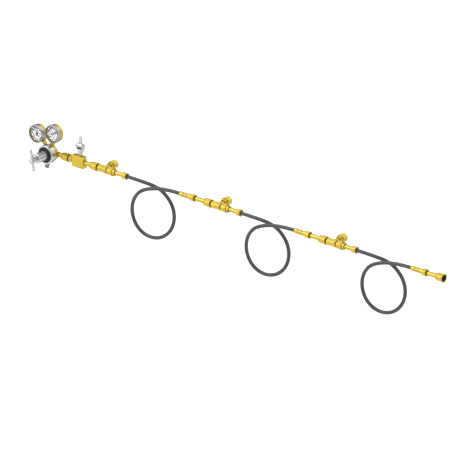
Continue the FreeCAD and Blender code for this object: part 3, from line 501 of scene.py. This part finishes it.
alongX, alongY, alongZ = (1, 0, 0), (0, 1, 0), (0, 0, 1)
outletAxis = (-math.sin(math.radians(15)), 0, -math.cos(math.radians(15)))
brassX = metal("brass", alongX, "AlongX")
brassY = metal("brass", alongY, "AlongY")
silverY = metal("silver", alongY, "AlongY")
silverZ = metal("silver", alongZ, "AlongZ")
greyX = metal("grey", alongX, "AlongX")
greyOutlet = metal("grey", outletAxis, "AlongOutlet")
bezelMetal = metal("bezel", alongY, "AlongY")
springSteel = metal("springSteel", alongY, "AlongY")
plainSettings = {
    "ringBlack": {"base": (0.010, 0.010, 0.011), "second": (0.022, 0.022, 0.023),
                  "roughness": 0.46, "grain": 900.0, "relief": 0.00001, "gloss": 0.25},
    "diaphragmRubber": {"base": (0.022, 0.022, 0.022), "second": (0.04, 0.04, 0.04),
                        "roughness": 0.6, "grain": 500.0, "relief": 0.00002, "gloss": 0.5},
    "dialWhite": {"base": (0.88, 0.88, 0.865), "second": (0.91, 0.91, 0.90),
                  "roughness": 0.45, "grain": 700.0, "relief": 0.000004, "gloss": 0.5},
    "dialBlack": {"base": (0.010, 0.010, 0.010), "second": (0.016, 0.016, 0.016),
                  "roughness": 0.5, "grain": 900.0, "relief": 0.000002, "gloss": 0.15},
    "dialGrey": {"base": (0.15, 0.15, 0.15), "second": (0.19, 0.19, 0.19),
                 "roughness": 0.5, "grain": 900.0, "relief": 0.000002, "gloss": 0.15},
    "dialRed": {"base": (0.62, 0.025, 0.02), "second": (0.70, 0.035, 0.03),
                "roughness": 0.5, "grain": 900.0, "relief": 0.000002, "gloss": 0.15},
    "pointerBlack": {"base": (0.010, 0.010, 0.011), "second": (0.016, 0.016, 0.016),
                     "roughness": 0.45, "grain": 800.0, "relief": 0.000003, "gloss": 0.15},
}
plain = {name: plainSurface(name, s) for name, s in plainSettings.items()}
windowGlass = glassWindow("windowGlass")
coverSettings = {"base": (0.032, 0.033, 0.034), "dusty": (0.060, 0.060, 0.062),
                 "thread": (0.085, 0.085, 0.087), "roughness": 0.29, "gloss": 0.5, "relief": 0.00009,
                 "tapeAngle": 0.62, "tapeScale": 28.0, "weaveScale": 160.0}
hoseRubber = hoseCover("hoseRubber", coverSettings)
print("materials made")


# Hoses first: a smooth line through the same turning points as the CAD tube, in metres
hoseSettings = {
    "count": 3,
    "length": 0.786,
    "diameter": 0.013,
    "columns": 28,
    "spacing": 0.0028,
    "route": [
        (0.1065, 0.0, 0.0), (0.165, 0.0, 0.0), (0.237, 0.019, -0.014), (0.290, 0.018, -0.054),
        (0.309, 0.013, -0.104), (0.294, 0.008, -0.156), (0.250, 0.003, -0.192), (0.193, -0.002, -0.196),
        (0.150, -0.007, -0.166), (0.135, -0.012, -0.114), (0.150, -0.017, -0.060), (0.193, -0.021, -0.016),
        (0.270, 0.0, 0.0), (0.3435, 0.0, 0.0),
    ],
}


def hoseLine(start, s):
    # Points along the route's spline, read from a curve with no bevel and spaced evenly along it.
    data = bpy.data.curves.new("hoseRoute", "CURVE")
    data.dimensions = "3D"
    data.resolution_u = 40
    spline = data.splines.new("NURBS")
    spline.points.add(len(s["route"]) - 1)
    for point, (x, y, z) in zip(spline.points, s["route"]):
        point.co = (start + x, chainY + y, z, 1.0)
    spline.order_u = 3
    spline.use_endpoint_u = True
    curve = bpy.data.objects.new("hoseRoute", data)
    bpy.context.scene.collection.objects.link(curve)
    line = bpy.data.meshes.new_from_object(curve)
    dense = np.empty(len(line.vertices) * 3)
    line.vertices.foreach_get("co", dense)
    dense = dense.reshape(-1, 3)
    bpy.data.objects.remove(curve)
    bpy.data.meshes.remove(line)
    reach = np.concatenate([[0.0], np.cumsum(np.linalg.norm(np.diff(dense, axis=0), axis=1))])
    even = np.linspace(0.0, reach[-1], int(reach[-1] / s["spacing"]))
    return np.column_stack([np.interp(even, reach, dense[:, axis]) for axis in range(3)]), even


def hosePiece(name, start, s):
    # A round tube: at each point of the line, radius times (cos, sin) of the angle in the plane across it,
    # measured from the level direction Y. Both ends close to a point inside their fittings.
    line, reach = hoseLine(start, s)
    tangent = np.gradient(line, axis=0)
    tangent /= np.linalg.norm(tangent, axis=1)[:, None]
    level = np.array([0.0, 1.0, 0.0]) - tangent[:, 1:2] * tangent
    level /= np.linalg.norm(level, axis=1)[:, None]
    across = np.cross(tangent, level)
    angle = np.arange(s["columns"]) * 2 * math.pi / s["columns"]
    radius = np.full(len(line), s["diameter"] / 2)
    pick = np.concatenate([[0], np.arange(len(line)), [len(line) - 1]])
    radius = np.concatenate([[0.0], radius, [0.0]])
    ring = np.cos(angle)[None, :, None] * level[pick][:, None, :]
    ring = ring + np.sin(angle)[None, :, None] * across[pick][:, None, :]
    points = line[pick][:, None, :] + radius[:, None, None] * ring
    turn = np.linspace(0.0, math.pi * s["diameter"], s["columns"] + 1)
    uv = np.stack(np.broadcast_arrays(reach[pick][:, None], turn[None, :]), axis=-1)
    mesh = gridMesh(name, points, uv=uv, sharpAngle=50.0)
    return mesh, line


hosePieces = []
for number in range(1, hoseSettings["count"] + 1):
    start = (number - 1) * teePitch
    mesh, line = hosePiece(f"hoseTube{number}", start, hoseSettings)
    piece = newPiece(f"hoseTube{number}", mesh, "line", hoseRubber, [f"hose_{number}"])
    hosePieces.append((piece, line))
print("hoses made")


# Union nuts: hexagon bar with a turned shoulder. Those with a free mouth show their inside thread.
nutSettings = {"flats": 28.6, "length": 31.0, "hexagon": 22.0, "chamfer": 1.5, "faceRadius": 13.7,
               "shoulder": 12.0, "hole": 7.8, "backWall": 6.0, "thread": 10.45, "threadLength": 10.5,
               "relief": 10.95, "reliefEnd": 16.5, "chamber": 9.6, "mouth": 11.4}


def nutOutline(s, free):
    corner = s["flats"] / math.sqrt(3)
    inner = s["length"] - s["backWall"]
    parts = [
        corners((1.0, s["thread"]), (0.0, s["mouth"])),
        run(0.0, s["faceRadius"], s["chamfer"], corner, 6),
        run(s["hexagon"] - s["chamfer"], corner, s["hexagon"], s["faceRadius"], 6),
        corners((s["hexagon"], s["shoulder"] + 0.5), (s["hexagon"] + 0.9, s["shoulder"]),
                (s["length"] - 1.6, s["shoulder"]), (s["length"], s["shoulder"] - 1.6),
                (s["length"], s["hole"]), (inner, s["hole"]), (inner, s["chamber"]),
                (s["reliefEnd"], s["chamber"]), (s["reliefEnd"], s["relief"]),
                (s["threadLength"], s["relief"]), (s["threadLength"], s["thread"])),
    ]
    if free:
        parts.append(run(s["threadLength"] - 0.3, s["thread"], 1.3, s["thread"], 44, 2.0))
    return np.vstack(parts)


# Each nut: where its mouth is, which way its own length runs, its body, its metal and whether it is free
nutPlaces = [
    ("regulator_inlet_nut", (adapterX + nutCover, chainY, 0.0), (-1, 0, 0), False),
    ("valve_outlet_nut", (-pigtailPlaces["inletNut"], chainY, 0.0), (-1, 0, 0), False),
]
for number in range(1, 4):
    shift = (number - 1) * teePitch
    inlet, outlet = shift + pigtailPlaces["inletNut"], shift + pigtailPlaces["outletNut"]
    nutPlaces.append((f"branch_nut_{number}", (shift, 0.001, 0.0), (0, -1, 0), True))
    nutPlaces.append((f"hose_{number}_inlet_nut", (inlet, chainY, 0.0), (1, 0, 0), False))
    nutPlaces.append((f"hose_{number}_outlet_nut", (outlet, chainY, 0.0), (-1, 0, 0), number == 3))

for node, mouth, along, free in nutPlaces:
    side = (1, 0, 0) if along[1] else (0, 1, 0)
    place = axisFrame(mouth, along, side)
    mesh = turnedMesh(node + "_turned", place, nutOutline(nutSettings, free), flats=nutSettings["flats"])
    newPiece(node + "_turned", mesh, node + "_body", brassY if along[1] else brassX, [node])
print("nuts made:", len(nutPlaces))


# Male ends, shared by the tees and the valve's inlet adapter
maleSettings = {"radius": 10.35, "root": 9.3, "length": 21.0, "seatDepth": 4.0, "seat": 4.4,
                "seatMouth": 6.2, "bore": 3.2, "undercut": 1.7, "tip": 1.1}


def maleRows(s, end, way):
    # From the bottom of the seat, round the tip and along the thread to the undercut at its root.
    root = end + way * s["length"]
    start = end + way * s["tip"]
    stop = root - way * s["undercut"]
    return np.vstack([
        corners((end + way * s["seatDepth"], s["bore"]), (end + way * s["seatDepth"], s["seat"]),
                (end, s["seatMouth"]), (end, s["radius"] - s["tip"]), (start, s["radius"])),
        run(start + way * 0.3, s["radius"], stop - way * 0.3, s["radius"], 84, 1.0),
        corners((stop, s["root"]), (root, s["root"])),
    ])


teeSettings = {"flats": 25.4, "half": 19.0, "faceRadius": 12.3, "chamfer": 1.4}


def teeOutline(s, male):
    corner = s["flats"] / math.sqrt(3)
    end = s["half"] + male["length"]
    left = maleRows(male, -end, 1)
    right = maleRows(male, end, -1)[::-1]
    return np.vstack([
        left,
        run(-s["half"], s["faceRadius"], -s["half"] + s["chamfer"], corner, 6),
        run(s["half"] - s["chamfer"], corner, s["half"], s["faceRadius"], 6),
        right,
    ])


for number in range(1, 4):
    node = f"tee_{number}"
    place = axisFrame(((number - 1) * teePitch, chainY, 0.0), (1, 0, 0), (0, 1, 0))
    outline = teeOutline(teeSettings, maleSettings)
    mesh = turnedMesh(node + "_turned", place, outline, flats=teeSettings["flats"])
    newPiece(node + "_turned", mesh, "line", brassX, [node])
print("tees made")


adapterSettings = {"flats": 24.0, "hexagon": 14.0, "faceRadius": 11.7, "chamfer": 1.3,
                   "spigot": 5.9, "spigotLength": 6.9}


def adapterOutline(s, male):
    corner = s["flats"] / math.sqrt(3)
    root = male["length"]
    end = root + s["hexagon"]
    return np.vstack([
        maleRows(male, 0.0, 1),
        run(root, s["faceRadius"], root + s["chamfer"], corner, 6),
        run(end - s["chamfer"], corner, end, s["faceRadius"], 6),
        corners((end, s["spigot"]), (end + s["spigotLength"], s["spigot"]),
                (end + s["spigotLength"], male["bore"])),
    ])


place = axisFrame((adapterX, chainY, 0.0), (1, 0, 0), (0, 1, 0))
outline = adapterOutline(adapterSettings, maleSettings)
mesh = turnedMesh("adapter_turned", place, outline, flats=adapterSettings["flats"])
newPiece("adapter_turned", mesh, "line", brassX, ["valve_inlet_adapter"])


# Hose fittings: the hexagon ferrule, the crimped sleeve and the outlet stem
ferruleSettings = {"flats": 24.0, "length": 16.5, "faceRadius": 11.6, "chamfer": 1.3, "bore": 3.2}
sleeveSettings = {"radius": 8.5, "length": 49.0, "bore": 3.2, "bands": (12.5, 26.5), "bandLength": 8.0,
                  "bandDepth": 0.55, "bandRamp": 0.9, "dies": 8, "bandShade": 0.22}
stemSettings = {"flats": 24.0, "hexagon": 16.5, "faceRadius": 11.6, "chamfer": 1.3, "groove": 1.6,
                "grooveRadius": 6.5, "shank": 7.5, "collar": 9.2, "cone": 7.0, "neck": 2.5,
                "collarThick": 3.45, "tip": 4.3, "bore": 3.2, "wall": 6.05, "shown": 42.0}


def ferruleOutline(s):
    corner = s["flats"] / math.sqrt(3)
    return np.vstack([
        corners((0.0, s["bore"])),
        run(0.0, s["faceRadius"], s["chamfer"], corner, 6),
        run(s["length"] - s["chamfer"], corner, s["length"], s["faceRadius"], 6),
        corners((s["length"], s["bore"])),
    ])


def sleeveMesh(name, place, s):
    # A tube whose two crimped bands are pressed in by eight dies: inside a band the radius falls by
    # depth times a smooth step along x, with a shallow ridge left between neighbouring dies.
    x = np.concatenate([[0.0, 0.0, 0.25, 0.8], np.linspace(1.2, s["length"] - 0.9, 150),
                        [s["length"] - 0.3, s["length"], s["length"]]])
    base = np.concatenate([[s["bore"], s["radius"] - 0.9, s["radius"] - 0.35, s["radius"]],
                           np.full(150, s["radius"]), [s["radius"] - 0.15, s["radius"] - 0.5, s["bore"]]])
    angle = np.arange(96) * 2 * math.pi / 96
    pressed = np.zeros_like(x)
    for first in s["bands"]:
        goingIn = np.clip((x - first) / s["bandRamp"], 0, 1)
        comingOut = np.clip((first + s["bandLength"] - x) / s["bandRamp"], 0, 1)
        pressed = np.maximum(pressed, goingIn * comingOut)
    smooth = pressed * pressed * (3 - 2 * pressed)
    between = np.abs((angle * s["dies"] / (2 * math.pi)) % 1.0 - 0.5) * 2
    ridge = np.clip((between - 0.86) / 0.14, 0.0, 1.0) ** 2
    r = base[:, None] - smooth[:, None] * s["bandDepth"] * (1 - 0.8 * ridge[None, :])
    edge = np.abs(np.gradient(smooth))[:, None] * np.ones_like(r) * 1.6
    origin, along, side, third = place
    ring = np.cos(angle)[None, :, None] * side + np.sin(angle)[None, :, None] * third
    points = origin + (x[:, None, None] * along + r[..., None] * ring) * mm
    # The pressed-in bands are darkened as painted shade
    fields = {"wear": np.clip(edge, 0, 1) * 0.5, "paintedShade": smooth[:, None] * s["bandShade"] * np.ones_like(r)}
    return gridMesh(name, points, closedRows=True, fields=fields)


def stemOutline(s):
    # From the rounded tip of the nose, over its collar and shank, to the hexagon against the sleeve.
    corner = s["flats"] / math.sqrt(3)
    collar = s["cone"] + s["neck"]
    end = collar + s["collarThick"] + s["wall"] + s["shown"]
    return np.vstack([
        corners((0.0, s["bore"]), (0.0, s["tip"]), (s["cone"], s["shank"]), (collar, s["shank"]),
                (collar, s["collar"]), (collar + s["collarThick"], s["collar"]),
                (collar + s["collarThick"], s["shank"]), (end - s["groove"] - 0.6, s["shank"]),
                (end - s["groove"], s["grooveRadius"]), (end, s["grooveRadius"])),
        run(end, s["faceRadius"], end + s["chamfer"], corner, 6),
        run(end + s["hexagon"] - s["chamfer"], corner, end + s["hexagon"], s["faceRadius"], 6),
        corners((end + s["hexagon"], s["bore"])),
    ])


for number in range(1, 4):
    shift = (number - 1) * teePitch
    place = axisFrame((shift + pigtailPlaces["ferrule"], chainY, 0.0), (1, 0, 0), (0, 1, 0))
    outline = ferruleOutline(ferruleSettings)
    mesh = turnedMesh(f"ferrule{number}", place, outline, flats=ferruleSettings["flats"])
    ferrule = newPiece(f"ferrule{number}", mesh, "line", brassX, [f"hose_{number}_inlet_ferrule"])
    place = axisFrame((shift + pigtailPlaces["sleeve"], chainY, 0.0), (1, 0, 0), (0, 1, 0))
    mesh = sleeveMesh(f"crimpSleeve{number}", place, sleeveSettings)
    sleeve = newPiece(f"crimpSleeve{number}", mesh, "line", brassX, [f"hose_{number}_crimp_sleeve"])
    place = axisFrame((shift + pigtailPlaces["stemNose"], chainY, 0.0), (-1, 0, 0), (0, 1, 0))
    mesh = turnedMesh(f"outletStem{number}", place, stemOutline(stemSettings), flats=stemSettings["flats"])
    stem = newPiece(f"outletStem{number}", mesh, "line", brassX, [f"hose_{number}_outlet_stem"])
    tube, line = hosePieces[number - 1]
print("hose fittings made")


# Gauges: bezel and printed dial. Angles run clockwise from the top of the dial, seen from the front.
gaugeSettings = {
    "dialFace": -0.08204,
    "backFace": -0.064,
    "sweep": 270.0,
    "tickOuter": 22.0,
    "minorLength": 1.8,
    "majorLength": 3.8,
    "minorWidth": 0.5,
    "majorWidth": 2.3,
    "inkThick": 0.04,
    "numberRadius": 15.4,
    "numberSize": 3.2,
    "arcWidth": 0.7,
    "bandWidth": 2.4,
}
gauges = {
    "left": {"stemAngle": -35.0, "reach": 0.0784, "numbers": ("0", "1000", "2000", "3000", "4000"),
             "minor": 10, "redBand": (-64.0, -24.0), "blackBand": (28.0, 135.0)},
    "right": {"stemAngle": 19.0, "reach": 0.0864, "numbers": ("0", "50", "100", "150", "200"),
              "minor": 10, "redBand": (-62.0, -8.0), "blackBand": (18.0, 52.0)},
}
for g in gauges.values():
    g["x"] = regulatorX + g["reach"] * math.sin(math.radians(g["stemAngle"]))
    g["height"] = g["reach"] * math.cos(math.radians(g["stemAngle"]))
bezelSettings = {"inner": 25.7, "outer": 32.5, "back": 16.05, "front": 27.9, "seat": 26.05, "case": 30.65,
                 "rollIn": 3.0, "rollUp": 3.2}


def dialPoint(g, s, angle, radius, lift):
    # A place on the dial: radius mm at a clockwise angle in degrees, lifted towards the viewer.
    turned = np.radians(angle)
    radius = np.asarray(radius, float) * mm
    return np.stack(np.broadcast_arrays(g["x"] + radius * np.sin(turned), s["dialFace"] - lift * mm,
                                        g["height"] + radius * np.cos(turned)), axis=-1)


def inkBars(name, g, s, angles, inner, outer, width):
    # Every bar is a flat box: four corners round its section, carried from the inner to the outer radius.
    angles = np.asarray(angles, float)
    across = np.array([-0.5, 0.5, 0.5, -0.5]) * width
    lift = np.array([0.0, 0.0, 1.0, 1.0]) * s["inkThick"]
    ends = np.array([inner, outer])
    sideways = np.degrees(across[None, None, :] / ends[None, :, None])
    radii = np.repeat(ends[None, :, None], 4, axis=2)
    points = dialPoint(g, s, angles[:, None, None] + sideways, radii, lift[None, None, :])
    count = len(angles)
    vertices = points.reshape(-1, 3)
    first = np.arange(count)[:, None] * 8
    box = np.array([[0, 1, 5, 4], [1, 2, 6, 5], [2, 3, 7, 6], [3, 0, 4, 7], [3, 2, 1, 0], [4, 5, 6, 7]])
    faces = (first[:, None, :] + box[None, :, :]).reshape(-1, 4)
    mesh = bpy.data.meshes.new(name)
    mesh.from_pydata(vertices.tolist(), [], faces.tolist())
    return mesh


def inkArc(name, g, s, start, stop, radius, width):
    # A band with a rectangular section, carried round the dial and closed at both ends.
    angle = np.linspace(start, stop, max(8, int(abs(stop - start) / 2)))
    angle = np.concatenate([[start], angle, [stop]])
    across = np.array([-0.5, 0.5, 0.5, -0.5])[None, :] * width
    lift = np.array([0.0, 0.0, 1.0, 1.0])[None, :] * s["inkThick"] * np.ones((len(angle), 1))
    across = across * np.ones((len(angle), 1))
    across[[0, -1]] = 0.0
    lift[[0, -1]] = s["inkThick"] / 2
    points = dialPoint(g, s, angle[:, None], radius + across, lift)
    return gridMesh(name, points, sharpAngle=30.0)


def inkNumbers(name, g, s):
    # Plain figures set upright round the scale, turned into a mesh and then moved to the dial.
    vertices, faces = [], []
    total = 0
    for index, text in enumerate(g["numbers"]):
        data = bpy.data.curves.new("figure", "FONT")
        data.body = text
        data.size = s["numberSize"] if len(text) < 4 else s["numberSize"] * 0.78
        data.align_x = "CENTER"
        data.align_y = "CENTER"
        data.extrude = s["inkThick"] / 2
        data.resolution_u = 3
        figure = bpy.data.objects.new("figure", data)
        bpy.context.scene.collection.objects.link(figure)
        mesh = bpy.data.meshes.new_from_object(figure)
        flat = np.empty(len(mesh.vertices) * 3)
        mesh.vertices.foreach_get("co", flat)
        flat = flat.reshape(-1, 3)
        angle = -s["sweep"] / 2 + s["sweep"] * index / (len(g["numbers"]) - 1)
        middle = dialPoint(g, s, angle, s["numberRadius"], s["inkThick"] / 2)
        vertices.append(middle + flat[:, [0, 2, 1]] * (mm, -mm, mm))
        faces += [[corner + total for corner in polygon.vertices] for polygon in mesh.polygons]
        total += len(flat)
        bpy.data.objects.remove(figure)
        bpy.data.meshes.remove(mesh)
    mesh = bpy.data.meshes.new(name)
    mesh.from_pydata(np.vstack(vertices).tolist(), [], faces)
    return mesh


def bezelOutline(s):
    # A rolled rim: the front rounds over from the outer side and falls in a cone to the window.
    bow = np.linspace(0.0, math.pi / 2, 9)
    rim = np.column_stack([s["front"] - s["rollUp"] + s["rollUp"] * np.sin(bow),
                           s["outer"] - s["rollIn"] + s["rollIn"] * np.cos(bow), np.zeros(9)])
    return np.vstack([
        corners((s["back"], s["case"]), (s["back"], s["outer"] - 0.5), (s["back"] + 0.6, s["outer"])),
        rim,
        corners((s["front"] - 0.5, s["inner"] + 0.6), (s["seat"], s["inner"]), (s["seat"], s["case"])),
    ])


for side, g in gauges.items():
    s = gaugeSettings
    half = s["sweep"] / 2
    major = np.linspace(-half, half, len(g["numbers"]))
    minor = np.linspace(-half, half, (len(g["numbers"]) - 1) * g["minor"] + 1)
    outer = s["tickOuter"]
    marks = inkBars(side + "MajorTicks", g, s, major, outer - s["majorLength"], outer, s["majorWidth"])
    fine = inkBars(side + "MinorTicks", g, s, minor, outer - s["minorLength"], outer, s["minorWidth"])
    arc = inkArc(side + "ScaleArc", g, s, -half, half, outer + 0.4, s["arcWidth"])
    middle = outer - s["bandWidth"] / 2
    red = inkArc(side + "RedBand", g, s, *g["redBand"], middle, s["bandWidth"])
    black = inkArc(side + "BlackBand", g, s, *g["blackBand"], middle, s["bandWidth"])
    numbers = inkNumbers(side + "Numbers", g, s)
    for mesh, ink in ((marks, "dialBlack"), (fine, "dialGrey"), (arc, "dialGrey"), (red, "dialRed"),
                      (black, "dialBlack"), (numbers, "dialGrey")):
        piece = newPiece(mesh.name, mesh, "line", plain[ink])
    place = axisFrame((g["x"], s["backFace"], g["height"]), (0, -1, 0), (1, 0, 0))
    mesh = turnedMesh(side + "Bezel", place, bezelOutline(bezelSettings), radius=0.4, roundColumns=96)
    piece = newPiece(side + "Bezel", mesh, "line", bezelMetal, [side + "_gauge_bezel"])
print("gauges made")


# The pieces that keep their CAD shape get their own finish
finishes = {
    brassY: ["regulator_body", "left_gauge_case", "right_gauge_case", "branch_nipple_1",
             "branch_nipple_2", "branch_nipple_3"],
    brassX: ["regulator_inlet_nipple", "valve_block", "valve_outlet_nipple", "hose_1_inlet_nipple",
             "hose_2_inlet_nipple", "hose_3_inlet_nipple"],
    silverY: ["bonnet", "adjusting_screw"],
    silverZ: ["t_bar", "toggle_bonnet", "toggle_lever"],
    greyX: ["toggle_pin", "spring_button"],
    greyOutlet: ["outlet_coupling"],
    springSteel: ["range_spring"],
    plain["ringBlack"]: ["bonnet_ring"],
    plain["diaphragmRubber"]: ["diaphragm"],
    plain["dialWhite"]: ["left_gauge_dial", "right_gauge_dial"],
    windowGlass: ["left_gauge_lens", "right_gauge_lens"],
    plain["pointerBlack"]: ["left_gauge_pointer", "right_gauge_pointer"],
}
for material, names in finishes.items():
    for name in names:
        for slot in nodes[name].material_slots:
            slot.material = material
print("CAD pieces finished")


# Floor, room and lamps
studioSettings = {"floorHeight": -0.62, "floorSize": 40.0, "floorColour": (0.84, 0.84, 0.84),
                  "floorLift": 0.505, "lampAim": 0.6,
                  "roomColour": (0.80, 0.805, 0.82), "roomStrength": 0.72}
lampSettings = [
    {"name": "key", "place": (-1.3, -2.3, 2.9), "size": 3.6, "power": 95.0},
    {"name": "fill", "place": (3.4, -1.9, 1.0), "size": 1.6, "power": 14.0},
    {"name": "back", "place": (0.6, 2.8, 2.4), "size": 2.4, "power": 15.0},
]


def seenRays(tree):
    # 1 for what the camera sees, also by way of a reflection or a window
    path = tree.nodes.new("ShaderNodeLightPath")
    return summed(tree, path.outputs["Is Camera Ray"], path.outputs["Is Glossy Ray"],
                  path.outputs["Is Transmission Ray"])


def stageObject(name, vertices, faces, material):
    mesh = bpy.data.meshes.new(name)
    mesh.from_pydata(vertices.tolist(), [], faces.tolist())
    mesh.materials.append(material)
    item = bpy.data.objects.new(name, mesh)
    bpy.context.scene.collection.objects.link(item)
    return item


def makeFloor(s):
    # A level sheet, white to the camera and in reflections, that still takes the soft shadow.
    half = s["floorSize"] / 2
    across = np.linspace(-half, half, 5)
    grid = np.stack(np.meshgrid(across, across, [s["floorHeight"]], indexing="ij"), axis=-1).reshape(-1, 3)
    first = (np.arange(4)[:, None] * 5 + np.arange(4)[None, :]).ravel()
    faces = np.stack([first, first + 5, first + 6, first + 1], axis=-1)
    material, tree, shader = startMaterial("floorWhite")
    shader.inputs["Base Color"].default_value = s["floorColour"] + (1.0,)
    shader.inputs["Roughness"].default_value = 0.9
    shader.inputs["Specular IOR Level"].default_value = 0.0
    glow = tree.nodes.new("ShaderNodeEmission")
    tree.links.new(mapped(tree, seenRays(tree), 0.0, 1.0, 0.0, s["floorLift"]), glow.inputs["Strength"])
    both = tree.nodes.new("ShaderNodeAddShader")
    tree.links.new(shader.outputs["BSDF"], both.inputs[0])
    tree.links.new(glow.outputs["Emission"], both.inputs[1])
    tree.links.new(both.outputs["Shader"], tree.nodes["Material Output"].inputs["Surface"])
    stageObject("floor", grid, faces, material)


def lightRoom(s, lamps):
    world = bpy.data.worlds.new("room")
    bpy.context.scene.world = world
    world.use_nodes = True
    tree = world.node_tree
    room = tree.nodes["Background"]
    room.inputs["Color"].default_value = s["roomColour"] + (1.0,)
    room.inputs["Strength"].default_value = s["roomStrength"]
    white = tree.nodes.new("ShaderNodeBackground")
    white.inputs["Color"].default_value = (1.0, 1.0, 1.0, 1.0)
    mix = tree.nodes.new("ShaderNodeMixShader")
    tree.links.new(seenRays(tree), mix.inputs["Fac"])
    tree.links.new(room.outputs["Background"], mix.inputs[1])
    tree.links.new(white.outputs["Background"], mix.inputs[2])
    tree.links.new(mix.outputs["Shader"], tree.nodes["World Output"].inputs["Surface"])
    for lamp in lamps:
        data = bpy.data.lights.new(lamp["name"], "AREA")
        data.size = lamp["size"]
        data.energy = lamp["power"]
        item = bpy.data.objects.new(lamp["name"], data)
        bpy.context.scene.collection.objects.link(item)
        place = Vector(lamp["place"])
        item.location = place
        item.rotation_mode = "QUATERNION"
        item.rotation_quaternion = (place - Vector((s["lampAim"], chainY, 0.0))).to_track_quat("Z", "Y")


makeFloor(studioSettings)
lightRoom(studioSettings, lampSettings)
bpy.context.scene.view_settings.view_transform = "Standard"
print("room lit")
